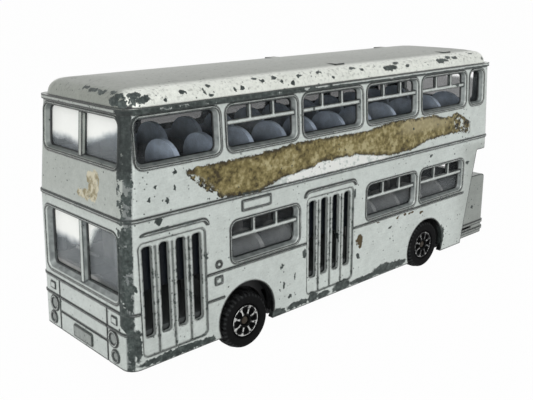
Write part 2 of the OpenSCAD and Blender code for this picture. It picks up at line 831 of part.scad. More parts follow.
module baseplate() {
    notch_half = wheel_r + notch_gap;
    stance() color([0.13, 0.13, 0.14])
    difference() {
        union() {
            translate([0, 0, base_bottom_z]) linear_extrude(base_t) polygon(base_plan(0));
            translate([axle_xs[1] - saddle_l, -tunnel_w / 2, base_top_z - bite])
                cube([wheelbase + 2 * saddle_l, tunnel_w, tunnel_h + bite]);
            both_sides()
                for (h = hubs)
                    translate([h.x - saddle_l / 2, saddle_y - saddle_t, base_top_z - bite])
                        cube([saddle_l, saddle_t, h.y + saddle_rise - base_top_z + bite]);
        }
        both_sides()
            for (x = axle_xs)
                translate([x - notch_half, saddle_y, base_bottom_z - over])
                    cube([2 * notch_half, side_y, base_t + 2 * over]);
        for (h = hubs)
            translate([h.x, 0, h.y]) rotate([90, 0, 0])
                cylinder(h = 2 * side_y, r = axle_r + saddle_gap, center = true);
        for (p = rivet_posts) translate([p[0], 0, base_bottom_z]) {
            translate([0, 0, -over]) cylinder(h = base_t + 2 * over, r = spigot_r + spigot_gap);
            translate([0, 0, -over]) cylinder(h = over + rivet_h + spigot_gap, r = rivet_r + rivet_gap);
        }
    }
}

// A bench on the +Y side of the aisle: a cushion and a back with an arched top, facing +X
module bench(d, floor_z, top_z, near) {
    inner = half_w_at(top_z) - wall - fit_gap - deck_t;
    y1 = inner + fit_gap / 2;
    y0 = y1 - bench_w;
    arch = (y1 - y0) * back_arch_share;
    back = concat([[y0, floor_z - bite], [y1, floor_z - bite]],
                  [for (k = [0:2 * arc_steps])
                      let (t = 90 * k / arc_steps)
                      [(y0 + y1) / 2 + (y1 - y0) / 2 * cos(t), top_z - arch + arch * sin(t)]]);
    mirror([0, near ? 0 : 1, 0]) {
        prism_x(back, along(d) - seat_t, along(d));
        translate([along(d) - bite, y0, floor_z - bite])
            cube([seat_depth + bite, bench_w, cushion_h + bite]);
    }
}

// A tray that fills the casting between two heights: floor, and sides up to the windows' ledge
module tray(low, z0, floor_z, z1) {
    inset = wall + fit_gap;
    inner = inset + deck_t;
    difference() {
        if (low) low_loft(inset, z0, z1); else body_loft(inset, z0, z1);
        if (low) low_loft(inner, floor_z, z1 + over); else body_loft(inner, floor_z, z1 + over);
        if (low) low_loft(inner, z0 - over, floor_z - deck_t);
    }
}

module wheel_box(hub, r, y0) {
    translate([hub.x, y0, hub.y]) rotate([-90, 0, 0]) cylinder(h = side_y - y0 - wall - fit_gap, r = r);
}

module driver_place() {
    translate([along(driver_d) - seat_t, driver_y - driver_w / 2, lower_floor_z - bite])
        cube([seat_t, driver_w, lower_back_z - lower_floor_z + bite]);
    translate([along(driver_d) - bite, driver_y - driver_w / 2, lower_floor_z - bite])
        cube([seat_depth + bite, driver_w, cushion_h + bite]);
    translate([along(steer_d), driver_y, steer_z]) rotate([0, -steer_tilt, 0]) {
        cylinder(h = steer_t, r = steer_r);
        translate([0, 0, -steer_r * 2]) cylinder(h = steer_r * 2, r = steer_t);
    }
    column_l = steer_r * 2;
    translate([along(steer_d) + column_l * sin(steer_tilt) - steer_r / 2, driver_y - steer_r / 2,
               lower_floor_z - bite])
        cube([steer_r, steer_r, steer_z - column_l * cos(steer_tilt) - lower_floor_z + 2 * bite]);
}

module lower_deck() {
    box_r = wheel_r + box_gap;
    stance() color([0.72, 0.73, 0.74])
    difference() {
        union() {
            tray(true, base_top_z, lower_floor_z, lower_ledge_z);
            for (d = lower_near_ds) bench(d, lower_floor_z, lower_back_z, true);
            for (d = lower_ds) bench(d, lower_floor_z, lower_back_z, false);
            driver_place();
            both_sides()
                for (h = hubs)
                    intersection() {
                        wheel_box(h, box_r + box_t, saddle_y - box_t);
                        translate([h.x - 2 * box_r, 0, base_top_z])
                            cube([4 * box_r, side_y, lower_ledge_z - base_top_z]);
                    }
        }
        both_sides()
            for (h = hubs) {
                wheel_box(h, box_r, saddle_y);
                translate([h.x, side_y - wall - fit_gap - deck_t - over, arch_z]) rotate([-90, 0, 0])
                    cylinder(h = deck_t + 2 * over, r = arch_r);
                translate([h.x - saddle_l / 2 - post_gap, 0, base_top_z - over])
                    cube([saddle_l + 2 * post_gap, saddle_y + over,
                          lower_floor_z - deck_t - base_top_z + over]);
            }
        for (d = door_ds)
            translate([along(d + door_w), side_y - wall - fit_gap - deck_t - bite, lower_floor_z])
                cube([door_w, wall + deck_t + over, lower_ledge_z - lower_floor_z + over]);
        translate([along(front_post_d), 0, base_top_z - over])
            cylinder(h = lower_back_z, r = post_r + post_gap);
        translate([0, 0, -over]) post_web(post_gap);
        post_web(post_gap);
    }
}

module upper_deck() {
    stance() color([0.63, 0.69, 0.78]) {
        tray(false, upper_floor_z, upper_floor_z + deck_t, upper_ledge_z);
        for (d = upper_ds, near = [true, false]) bench(d, upper_floor_z + deck_t, upper_back_z, near);
    }
}

// A clear wall that stands inside the casting, all the way round a deck
module lower_glazing() {
    inset = wall + fit_gap;
    stance() color([0.85, 0.9, 0.93, 0.4])
    difference() {
        low_loft(inset, lower_ledge_z, upper_floor_z);
        low_loft(inset + glaze_t, lower_ledge_z - over, upper_floor_z + over);
    }
}

module upper_glazing() {
    inset = wall + fit_gap;
    stance() color([0.85, 0.9, 0.93, 0.4])
    difference() {
        body_loft(inset, upper_ledge_z, glaze_top_z);
        body_loft(inset + glaze_t, upper_ledge_z - over, glaze_top_z + over);
    }
}

// An axle with both ends peened over, in the pits of the wheels
module axle(x) {
    end_y = wheel_out_y - hub_sink - hub_pit_depth + axle_end_gap;
    color([0.55, 0.52, 0.48])
    translate([x, 0, wheel_r]) rotate([90, 0, 0]) {
        cylinder(h = 2 * end_y, r = axle_r, center = true);
        for (s = [0, 1]) mirror([0, 0, s]) translate([0, 0, end_y])
            rotate_extrude()
                polygon(concat([[0, 0], [axle_head_r, 0]],
                               [for (k = [0:arc_steps])
                                   let (t = 90 * k / arc_steps)
                                   [axle_head_r * cos(t), axle_head_h / 2 + axle_head_h / 2 * sin(t)]]));
    }
}

module front_axle() { axle(wheel_xs[0]); }
module rear_axle() { axle(wheel_xs[1]); }

// A wheel about its own axis, with its outer face towards +Z and at zero
module wheel_form() {
    tread_z = shoulder_r;
    arc_r = wheel_r - tread_drop - shoulder_r;
    tyre = concat(
        [[boss_r, -wheel_w], [boss_r, back_depth - wheel_w],
         [back_r, back_depth - wheel_w], [back_r, -wheel_w]],
        [for (k = [0:arc_steps])
            let (t = -90 + 90 * k / arc_steps)
            [arc_r + shoulder_r * cos(t), shoulder_r - wheel_w + shoulder_r * sin(t)]],
        [[wheel_r, -wheel_w / 2 - tread_z], [wheel_r, tread_z - wheel_w / 2]],
        [for (k = [0:arc_steps])
            let (t = 90 * k / arc_steps)
            [arc_r + shoulder_r * cos(t), -shoulder_r + shoulder_r * sin(t)]],
        [[rim_r, 0], [rim_r - groove, -rim_depth], [hub_r, -rim_depth], [hub_r, -hub_sink],
         [hub_pit_r, -hub_sink], [hub_pit_r, -hub_sink - hub_pit_depth],
         [axle_r + running_gap, -hub_sink - hub_pit_depth], [axle_r + running_gap, -wheel_w]]);
    difference() {
        rotate_extrude() polygon(tyre);
        for (k = [0:hub_cell_count - 1])
            rotate([0, 0, k * 360 / hub_cell_count])
                translate([hub_cell_at, 0, -hub_sink - hub_cell_depth])
                    cylinder(h = hub_cell_depth + over, r = hub_cell_r);
        for (k = [0:tread_notches - 1])
            rotate([0, 0, k * 360 / tread_notches])
                translate([wheel_r - tread_drop - notch_depth, -notch_w / 2, -notch_l - shoulder_r / 2])
                    cube([notch_depth + over, notch_w, notch_l]);
    }
}

module wheel(x, side) {
    color([0.07, 0.07, 0.075])
    translate([x, side * wheel_out_y, wheel_r]) rotate([-90 * side, 0, 0]) wheel_form();
}

module wheel_front_near() { wheel(wheel_xs[0], 1); }
module wheel_front_far() { wheel(wheel_xs[0], -1); }
module wheel_rear_near() { wheel(wheel_xs[1], 1); }
module wheel_rear_far() { wheel(wheel_xs[1], -1); }

body_casting();
baseplate();
lower_deck();
lower_glazing();
upper_deck();
upper_glazing();
front_axle();
rear_axle();
wheel_front_near();
wheel_front_far();
wheel_rear_near();
wheel_rear_far();
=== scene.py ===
"""Dresses a worn die-cast toy bus: its cast body, mouldings, running gear and stage."""

import json
import math

import bmesh
import bpy
from mathutils import Matrix, Vector


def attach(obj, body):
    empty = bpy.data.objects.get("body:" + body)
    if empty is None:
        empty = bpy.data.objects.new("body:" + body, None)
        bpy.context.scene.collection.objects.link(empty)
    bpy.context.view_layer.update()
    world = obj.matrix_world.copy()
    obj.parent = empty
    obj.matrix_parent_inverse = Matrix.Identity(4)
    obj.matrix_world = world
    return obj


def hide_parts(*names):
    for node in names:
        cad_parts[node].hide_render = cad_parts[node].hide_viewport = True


bl_info = {
    "name": "Toy Bus",
    "version": (1, 0, 0),
    "blender": (4, 5, 0),
    "location": "3D View > Sidebar > Toy Bus",
    "description": "Finishes the pieces of a worn die-cast toy bus and sets its stage",
    "category": "Object",
}

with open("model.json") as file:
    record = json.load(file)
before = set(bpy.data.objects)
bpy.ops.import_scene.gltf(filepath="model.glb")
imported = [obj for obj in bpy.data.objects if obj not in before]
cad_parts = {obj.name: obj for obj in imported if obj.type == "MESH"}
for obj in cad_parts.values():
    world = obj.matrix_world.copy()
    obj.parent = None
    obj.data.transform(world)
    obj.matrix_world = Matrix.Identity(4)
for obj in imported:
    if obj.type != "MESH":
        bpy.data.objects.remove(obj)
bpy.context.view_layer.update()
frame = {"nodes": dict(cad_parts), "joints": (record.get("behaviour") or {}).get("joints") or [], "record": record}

# Sizes and places are in millimetres, apart from those of the stage
MM = 0.001
WHEEL_X = frame["joints"][0]["pos_m"][0] / MM
WHEEL_R = frame["joints"][0]["pos_m"][2] / MM
WHEEL_FACE_Y = 16.95
FOIL_SINK = 0.2
TREAD_RIDGES = 36
TREAD_RS, TREAD_DUST_R = (5.625, 6.225), 5.75
HOUSING_R, HOUSING_Y = 9.65, 11.3

# The casting sits nose up on level wheels, and its own frame is turned about the middle of its hubs
STANCE = math.atan(2.0 / 63.7)
HUB_MID = (-0.25, 5.9)

# Heights and planes of the casting, in its own frame
SKIRT_Z, BELT_Z, GUTTER_Z, ROOF_Z = 3.5, 33.5, 53.4, 57.75
ROOF_BEND = 0.0043
SIDE_Y, SIDE_LEAN = 17.55, 0.95
FRONT_X, FRONT_LEANS = 61.5, (1.1, 1.85)
REAR_X = -60.2
BUSTLE_X, BUSTLE_FOOT_X, BUSTLE_Z = -54.5, -48.9, 30.0
ARCH_XS, ARCH_Z, ARCH_R = (31.6, -32.1), 6.5, 8.016
DOOR_XS, DOOR_HALF, DOOR_ZS = (50.3, 5.7), 7.8, (5.75, 28.95)
INSIDE_DEPTH, REVEAL_DEPTH, NOSE_DEPTH, SKIN_DEPTH = 1.02, 0.19, 1.25, 0.375

# The roof's rounded edges: the near one over the side and the brow over the front
SHOULDER_Y, SHOULDER_Z, SHOULDER_BEND, SHOULDER_START_Y = 16.5, 54.5, 0.305, 12.6
BROW_X, BROW_Z, BROW_BEND = 58.2, 55.2, 0.55

# Places inside: the cab, the foot of each deck, darkened as painted shade, the panes, and the last bay of windows
CAB_X, CAB_Y = 40.75, 4.0
LOWER_SHADE_Z, UPPER_SHADE_Z = 16.5, 42.0
FRONT_PANE_X, FAR_PANE_Y, DOOR_PANE_Y = 56.25, -14.0, 9.5
LAST_BAY_X, REAR_PANE_TOP_Z, PANE_DUST_Z = -43.0, 49.3, 23.5

# The plate and the lenses of the lamps on the front, each lens given across, up and by its radius
PLATE_HALF_W, PLATE_HALF_H, PLATE_Z = 3.75, 1.35, 5.6
FRONT_LENSES = ((11.9, 9.05, 1.2), (12.6, 5.55, 0.9))

# Bare metal on the upright front corners: its widths, and where the near one is narrower and fuller
CORNER_FRONT, CORNER_NEAR, CORNER_FAR = 1.4, 3.15, 1.3
CORNER_NARROW, CORNER_NARROW_Z = 1.9, 12.0
CORNER_FULL_Z = 41.25

# The far side wears as the near side does, this much further back
FAR_SHIFT = 7.3

# Chips in the paint of the side with the doors: along, up, half length and half height
SIDE_CHIPS = (
    (49, 41.3, 0.4, 0.5), (53.5, 39.2, 0.35, 0.3), (51, 36, 0.5, 0.8), (55, 37, 0.4, 0.35),
    (49.2, 38, 0.2, 0.8), (58.4, 40.6, 0.5, 0.7), (53.3, 32.5, 0.8, 0.9), (52, 31, 1, 0.35),
    (42.3, 22.7, 0.5, 0.8), (59.2, 20.4, 0.5, 0.9), (14.4, 16.2, 0.6, 1.2), (21.5, 15, 0.3, 0.8),
    (20.7, 10.4, 0.5, 0.8), (17.4, 11.4, 0.3, 1), (19, 7, 0.6, 0.5), (10.4, 49, 0.5, 0.5),
    (2.8, 17.5, 0.5, 0.9), (-2.5, 27, 0.4, 1.1), (-9.4, 25.5, 0.9, 0.4), (-4.3, 10.8, 0.6, 0.8),
    (-16.5, 15.5, 0.7, 0.4), (-32.7, 31.6, 0.7, 0.4), (-44.6, 49, 0.7, 0.5), (-50, 27, 1.2, 0.5),
    (-54.6, 13, 0.6, 0.5),
)

# Ragged bare metal along the skirt, at the rear arch and at the foot of the near corner, in the same way
SKIRT_CHIPS = (
    (51, 4.5, 9.5, 0.9), (43, 4.2, 2.6, 0.8), (22.5, 4.3, 2.3, 1.1), (16.5, 4.5, 3.6, 0.8),
    (11.5, 4.7, 1.8, 1.2), (8, 4.4, 2.5, 0.8), (1.5, 4.7, 3.5, 1.3), (-7, 4.4, 6, 0.8),
    (-14, 5, 4, 1.4), (-19, 4.7, 5, 1.1), (-39, 8, 1.7, 3.3), (59.3, 8.7, 0.8, 3.7),
)

# Chips along the roof's shoulder, in the same way
SHOULDER_CHIPS = (
    (53.6, 55.8, 0.5, 0.4), (49.8, 54.9, 0.4, 0.4), (45.5, 55.8, 0.8, 0.4), (40.6, 55.4, 0.5, 0.4),
    (39.2, 54.7, 0.8, 0.4), (39, 56.4, 0.6, 0.4), (33, 55.2, 0.5, 0.5), (31, 55.2, 0.6, 0.5),
    (26.6, 56.8, 0.7, 0.5), (25, 56.1, 0.7, 0.4), (21.6, 56.4, 0.8, 0.4), (20, 55.6, 0.6, 0.4),
    (17, 54.9, 0.5, 0.5), (14.4, 56.3, 0.8, 0.4), (8.2, 56.5, 1, 0.4), (4.3, 55.2, 0.6, 0.4),
    (-3, 56.5, 1.3, 0.4), (-6, 56, 0.7, 0.4), (-16, 55.7, 2.9, 1), (-19, 56.5, 1.2, 0.4),
    (-23, 55.7, 0.8, 0.4), (-37.5, 55.9, 2.7, 0.9), (-41, 56.5, 1.5, 0.5), (-43.4, 56.2, 1.3, 0.6),
    (-52.3, 56.8, 1.2, 0.5), (-56, 55.1, 0.8, 0.5),
)

# Chips along the roof's brow over the front: across, up, half width and half height
BROW_CHIPS = (
    (-8, 56.4, 0.9, 0.5), (-5.3, 56.8, 1.3, 0.6), (-5.3, 55.8, 0.4, 0.8), (-3, 56.9, 1.2, 0.6),
    (-1.2, 56.8, 1.4, 0.7), (0.6, 56.6, 1.5, 0.7), (3.8, 56.4, 1.7, 0.8), (7, 56.4, 1.7, 0.8),
    (10.7, 56.5, 1.2, 0.6),
)

# The bare patch on the roof's near front corner: place and half sizes along X, Y and Z
CORNER_PATCH = (
    (57.5, 13.8, 56.2, 0.9, 2.3, 0.9), (56, 15.3, 56.2, 1.7, 1.2, 0.8), (58, 14.7, 55, 0.9, 1.5, 1.4),
    (56.7, 15.8, 55.3, 1.1, 0.9, 1.3), (54.5, 16, 55.2, 1.5, 0.8, 0.7), (58.2, 12.4, 55, 0.8, 1.6, 1),
)

# Glue left by a strip along the side: its ends along the bus, and its upper and lower edges
GLUE_ENDS = (-51.0, 46.6)
GLUE_ZS = (32.0, 44.0)
GLUE_TOP = (
    (46.6, 40.9), (45.5, 41.3), (27, 41.5), (16, 42.2), (-6, 41.6), (-16, 42.6), (-34, 42.2),
    (-39, 40.8), (-44, 41.6), (-51, 38.3),
)
GLUE_FOOT = (
    (46.6, 40.6), (43.5, 37.6), (38, 34), (28, 33.4), (21, 35.2), (11.5, 36), (10, 36.8), (-3, 36.5),
    (-16, 34.3), (-25, 34.5), (-31, 36), (-45, 36.3), (-50, 35), (-51, 36.5),
)

# Where the glue flakes, at its rear and along its slanting front, and where it is fuller and paler
FLAKE_X, FLAKE_SLANT, FLAKE_SLANT_X, FLAKE_SLANT_Z = -43.0, 1.2, -3.5, 40.1
FULL_X, FULL_SHARE = -5.0, 0.045
PALE_XS, PALE_Z = (-40.5, -20.5), 38.75

# White paper left under the glue: its ends along the bus and its foot
PAPER_ENDS, PAPER_Z = (-14.5, 21.5), 34.0

# Scraps of the same glue on the front: across, up, half width and half height
FRONT_SCRAPS = ((6.6, 39.2, 1.5, 2.5), (5.6, 37.0, 2.0, 1.9), (2.6, 36.2, 3.2, 1.0), (4.6, 39.8, 1.5, 1.4))

# Rust on the side with the doors: along, up, half length and half height
RUST_SPOTS = (
    (-4.7, 14.9, 1.5, 1.5), (-5.0, 13.4, 0.7, 0.8), (-19.5, 17.5, 0.7, 0.35), (-25.0, 17.6, 1.3, 0.35),
    (-29.7, 16.8, 0.9, 0.45), (-22.5, 17.65, 0.8, 0.3), (-11.6, 18.0, 0.5, 0.3),
)

# The stage, in metres: where the camera stands, what it looks at and how far it is rolled, and the lamps
EYE, AIM, ROLL = (0.12616, 0.12970, 0.07942), (0.00904, -0.00062, 0.025), math.radians(-1.833)
SENSOR_WIDTH = 36.0
KEY_PLACE, KEY_WIDTH = (0.40, 0.55, 0.36), 0.7
FILL_PLACE, FILL_WIDTH = (0.75, 0.02, 0.25), 0.5
LAMP_AIM = (0.0, 0.0, 0.03)


def paint(*levels):
    """A colour for a shader from screen levels of 0 to 255."""
    shares = [level / 255 for level in levels]
    return tuple(s / 12.92 if s < 10 / 255 else ((s + 0.055) / 1.055) ** 2.4 for s in shares) + (1.0,)


class Wire:
    """A shader value, with Python's operators for numbers."""

    def __init__(self, socket):
        self.socket = socket
        self.tree = socket.id_data

    def node(self, kind, settings=None, sockets=None, out=0):
        """Adds a node, sets it up, fills its sockets with values or wires, and gives one of its outputs."""
        made = self.tree.nodes.new(kind)
        for name, value in (settings or {}).items():
            if name == "stops":
                ramp = made.color_ramp
                while len(ramp.elements) < len(value):
                    ramp.elements.new(0.5)
                for stop, (place, colour) in zip(ramp.elements, value):
                    stop.position, stop.color = place, colour
            elif name == "points":
                curve = made.mapping.curves[0]
                while len(curve.points) < len(value):
                    curve.points.new(0.5, 0.5)
                for point, place in zip(curve.points, sorted(value)):
                    point.location, point.handle_type = place, "VECTOR"
                made.mapping.update()
            else:
                setattr(made, name, value)
        for key, value in (sockets or {}).items():
            if isinstance(value, Wire):
                self.tree.links.new(value.socket, made.inputs[key])
            else:
                made.inputs[key].default_value = value
        return Wire(made.outputs[out])

    def maths(self, operation, *others):
        return self.node("ShaderNodeMath", {"operation": operation}, dict(enumerate((self, *others))))

    def vector(self, operation, *others, out=0):
        values = dict(enumerate((self, *others)))
        return self.node("ShaderNodeVectorMath", {"operation": operation}, values, out)

    def __add__(self, other):
        return self.maths("ADD", other)

    __radd__ = __add__

    def __sub__(self, other):
        return self.maths("SUBTRACT", other)

    def __rsub__(self, other):
        return self.node("ShaderNodeMath", {"operation": "SUBTRACT"}, {0: other, 1: self})

    def __mul__(self, other):
        return self.maths("MULTIPLY", other)

    __rmul__ = __mul__

    def __truediv__(self, other):
        return self.maths("DIVIDE", other)

    def __abs__(self):
        return self.maths("ABSOLUTE")

    def low(self, other):
        return self.maths("MINIMUM", other)

    def high(self, other):
        return self.maths("MAXIMUM", other)

    def rise(self, start, end):
        """0 before start and 1 after end, with a soft step between; start may be the larger."""
        if start > end:
            return 1.0 - self.rise(end, start)
        settings = {"interpolation_type": "SMOOTHSTEP"}
        return self.node("ShaderNodeMapRange", settings, {0: self, 1: start, 2: end})

    def above(self, limit, soft):
        """1 above a limit and 0 below it, with a step of the given width."""
        return self.rise(limit - soft / 2, limit + soft / 2)

    def below(self, limit, soft):
        """1 below a limit and 0 above it, with a step of the given width."""
        return self.rise(limit + soft / 2, limit - soft / 2)

    def noise(self, scale, detail=3.0, rough=0.55, out=0):
        sockets = {"Vector": self, "Scale": scale, "Detail": detail, "Roughness": rough}
        return self.node("ShaderNodeTexNoise", {}, sockets, out)

    def cells(self, scale):
        """How far this place is from the nearest of many scattered points."""
        return self.node("ShaderNodeTexVoronoi", {}, {"Vector": self, "Scale": scale})

    def mixed(self, first, second):
        """A colour between two, by this value."""
        return self.node("ShaderNodeMix", {"data_type": "RGBA"}, {0: self, 6: first, 7: second}, 2)

    def ramp(self, *stops):
        """A colour from stops, by this value."""
        return self.node("ShaderNodeValToRGB", {"stops": stops}, {0: self})

    def times(self, *shares):
        """This colour or place, each of its three parts by its own share."""
        return self.vector("MULTIPLY", shares)

    def parts(self):
        return [self.node("ShaderNodeSeparateXYZ", {}, {0: self}, i) for i in range(3)]

    def shaken(self, scale, reach, detail=2.0):
        """This place, pushed about by noise by up to about half of reach."""
        push = self.noise(scale, detail, out=1).vector("SUBTRACT", (0.5, 0.5, 0.5))
        return push.vector("MULTIPLY_ADD", (reach, reach, reach), self)

    def bump(self, strength, distance, **normal):
        """A normal roughened by this height, up to a distance in millimetres."""
        sockets = {"Strength": strength, "Distance": distance * MM, "Height": self, **normal}
        return self.node("ShaderNodeBump", {}, sockets)


def highest(*wires):
    """The highest of several values."""
    best, *rest = wires
    for wire in rest:
        best = best.high(wire)
    return best


def new_finish(name):
    """An empty node material, its shader, and Object coordinates in millimetres."""
    material = bpy.data.materials.new(name)
    material.use_nodes = True
    tree = material.node_tree
    shader = next(n for n in tree.nodes if n.type == "BSDF_PRINCIPLED")
    metres = Wire(tree.nodes.new("ShaderNodeTexCoord").outputs["Object"])
    return material, shader, metres.times(1 / MM, 1 / MM, 1 / MM)


def feed(shader, **values):
    """Sets or links the shader's sockets by name, with spaces written as underscores."""
    for name, value in values.items():
        socket = shader.inputs[name.replace("_", " ")]
        if isinstance(value, Wire):
            value.tree.links.new(value.socket, socket)
        else:
            socket.default_value = value


def cast_frame(place):
    """The same place in the casting's own frame, whole and in its three parts."""
    x, y, z = place.parts()
    dz = z - WHEEL_R
    along = x * math.cos(STANCE) + dz * math.sin(STANCE) + HUB_MID[0]
    up = dz * math.cos(STANCE) - x * math.sin(STANCE) + HUB_MID[1]
    whole = along.node("ShaderNodeCombineXYZ", {}, {0: along, 1: y, 2: up})
    return whole, along, y, up


def about_axle(place):
    """A place's distance from the nearer axle, and its angle about it."""
    x, y, z = place.parts()
    along = abs(x) - WHEEL_X
    up = z - WHEEL_R
    return (along * along + up * up).maths("SQRT"), up.maths("ARCTAN2", along)


def facing(place):
    """The surface's normal."""
    return place.node("ShaderNodeNewGeometry", {}, {}, 1)


def edges(place, radius, samples):
    """The normal rounded over within a radius of the edges, and how far it turns: 0 on flat faces."""
    rounded = place.node("ShaderNodeBevel", {"samples": samples}, {"Radius": radius})
    return rounded, 1.0 - rounded.vector("DOT_PRODUCT", facing(place), out=1)


def nearer(along, places):
    """How far a place along the bus is from the nearer of two."""
    return abs(along - places[0]).low(abs(along - places[1]))


def nearest_spot(place, spots):
    """How near a place is to the closest of many ellipsoids: 0 at a middle and 1 at a rim."""
    best = None
    for (*middle, a, b, c) in spots:
        sizes = (a, b, c)
        scale = tuple(1 / s for s in sizes)
        shift = tuple(-m / s for m, s in zip(middle, sizes))
        reach = place.vector("MULTIPLY_ADD", scale, shift).vector("LENGTH", out=1)
        best = reach if best is None else best.low(reach)
    return best


def upper_share(z):
    """How far a height lies from the belt to the gutter, as a share."""
    return (z - BELT_Z) / (GUTTER_Z - BELT_Z)


def on_side(spots, depth=1.6, sink=0.2):
    """Spots given along and up, set on the side with the doors."""
    return [(x, SIDE_Y - sink - max(0, upper_share(z)) * SIDE_LEAN, z, a, depth, b) for x, z, a, b in spots]


def on_front(spots, depth=1.6):
    """Spots given across and up, set on the upper front."""
    low, high = FRONT_LEANS
    return [(FRONT_X - low - high * upper_share(z), y, z, depth, a, b) for y, z, a, b in spots]


def on_shoulder(spots, depth=0.6):
    """Spots given along and up, set on the roof's rounded near edge."""
    return [(x, SHOULDER_Y - SHOULDER_BEND * (z - SHOULDER_Z) ** 2, z, a, depth, b) for x, z, a, b in spots]


def on_brow(spots, depth=0.6):
    """Spots given across and up, set on the roof's rounded front edge."""
    return [(BROW_X - BROW_BEND * (z - BROW_Z) ** 2, y, z, depth, a, b) for y, z, a, b in spots]


class CastSkin:
    """A spot on the casting: where it lies, and the noises and masks that its finishes share."""

    def __init__(self, place, finish):
        spot, x, y, z = cast_frame(place)
        self.spot, self.x, self.y, self.z = spot, x, y, z
        self.facing = facing(place).parts()
        self.rounded, crease = edges(place, finish.edge_radius, 8)
        self.edge = edges(place, finish.dirt_and_shade_width, 8)[1]

        self.fine = spot.noise(2.4, 3.0, 0.6)
        self.middle = spot.noise(0.6, 4.0, 0.6)
        self.grain = spot.times(0.16, 1.6, 1.6).noise(1.6, 3.0, 0.6)
        self.ragged = spot.shaken(0.9, 1.5).shaken(3.2, 0.55)

        # The outer faces at this height, and how far the spot lies behind the nearest of them
        lower = (z - SKIRT_Z).low(BELT_Z - SKIRT_Z) / (BELT_Z - SKIRT_Z)
        upper = (z - BELT_Z).high(0.0) / (GUTTER_Z - BELT_Z)
        self.side_y = SIDE_Y - upper * SIDE_LEAN
        self.front_x = FRONT_X - lower * FRONT_LEANS[0] - upper * FRONT_LEANS[1]
        over = z.above(BUSTLE_Z - 0.15, 0.3)
        slope = (BUSTLE_Z - z) * ((BUSTLE_FOOT_X - BUSTLE_X) / (BUSTLE_Z - SKIRT_Z))
        self.rear_x = BUSTLE_X + over * (REAR_X - BUSTLE_X) + (1.0 - over) * slope
        self.behind_side = self.side_y - abs(y)
        self.behind_front = self.front_x - x
        below_roof = ROOF_Z - y * y * ROOF_BEND - z
        self.depth = self.behind_side.low(self.behind_front).low(x - self.rear_x).low(below_roof)

        self.near_side = (self.side_y - y).below(SKIN_DEPTH, 0.25)
        self.nose = self.behind_front.below(NOSE_DEPTH, 0.7)
        # Dirt and painted shade in a thin line beside every bead and frame, darkest in the creases
        broken = self.edge.rise(0.0015, 0.008) * (self.middle.rise(0.3, 0.55) * 0.5 + 0.25)
        self.dirt_and_shade_line = broken.high(crease.rise(0.0008, 0.005))


def lit_and_shaded_paint(skin, finish):
    """Silver paint with painted light: painted shade greys the nose and roof, a painted highlight brightens the
    roof's edges, and painted shade darkens the bustle, the lower rear and the foot of the nose.
    """
    z, nose = skin.z, skin.nose
    # Painted shade: the upper nose takes the darker roof colour
    tone = (nose * z.above(BELT_Z - 1.0, 7.0) * 0.6).mixed(finish.paint, finish.roof_shade)
    shoulder = abs(skin.y).above(SHOULDER_START_Y, 3.2) * (1.0 - nose)
    # Painted highlight on the roof's edges, beside the painted shade of the roof top
    tone = z.above(GUTTER_Z + 0.5, 0.6).mixed(tone, shoulder.mixed(finish.roof_shade, finish.shoulder))
    # Painted shade on the bustle, the lower rear and the foot of the nose
    bustle_shade = (skin.x - skin.rear_x).below(-0.1, 0.6) * z.below(BUSTLE_Z + 0.4, 1.2)
    tone = bustle_shade.mixed(tone, tone.times(0.62, 0.62, 0.61))
    tail_shade = skin.x.below(BUSTLE_X + 7.0, 11.0) * z.below(BUSTLE_Z + 2.0, 2.0)
    tone = tail_shade.mixed(tone, tone.times(0.76, 0.76, 0.75))
    return (nose * z.below(BELT_Z - 2.5, 4.0)).mixed(tone, tone.times(0.9, 0.9, 0.9))


def mottled(skin, tone):
    """Paint with darker and paler mottling, and smudges on the roof."""
    broad = skin.spot.noise(0.07, 2.0)
    grime_and_shade = skin.spot.noise(0.5, 6.0, 0.75)
    shares = ((skin.fine, 0.8), (broad, 0.6), (skin.grain, 0.5), (grime_and_shade, 1.1))
    level = sum((noise - 0.5) * share for noise, share in shares) + 0.55
    tone = level.mixed(tone.times(0.72, 0.73, 0.72), tone.times(1.14, 1.14, 1.14))
    smudges = skin.z.above(GUTTER_Z + 1.35, 1.5) * skin.spot.noise(1.3, 2.0, 0.6).rise(0.5, 0.68)
    return (smudges * 0.4).mixed(tone, paint(104, 106, 100))


def dirty_and_shaded(skin, finish, tone):
    """Paint with dirt and painted shade in a thin line beside every bead and frame, painted shade in the reveals,
    and dirt in specks.
    """
    z = skin.z
    door = nearer(skin.x, DOOR_XS).below(DOOR_HALF, 0.4) * z.above(DOOR_ZS[0], 0.3) * z.below(DOOR_ZS[1], 0.3)
    # Dirt and painted shade beside the beads, fainter at the doors
    tone = (skin.dirt_and_shade_line * finish.dirt_and_shade_strength * (1.0 - door * 0.5)).mixed(tone, finish.dirt_and_shade)
    # Painted shade in the window reveals, away from the flat faces and the doors
    sideways = abs(skin.facing[1]).rise(0.95, 0.85)
    pillar = skin.facing[0].rise(0.85, 0.95) * skin.behind_front.below(2.0, 0.4)
    reveal = skin.depth.above(REVEAL_DEPTH, 0.18) * z.below(GUTTER_Z - 0.7, 0.4) * sideways * (1.0 - pillar)
    shade = reveal * (1.0 - door * 0.6) * (0.72 + (skin.middle - 0.5) * 0.9)
    tone = shade.mixed(tone, paint(78, 84, 86))
    specks = skin.fine.rise(0.64, 0.72).low(skin.middle.rise(0.52, 0.6))
    return specks.mixed(tone, tone.times(0.55, 0.56, 0.55))


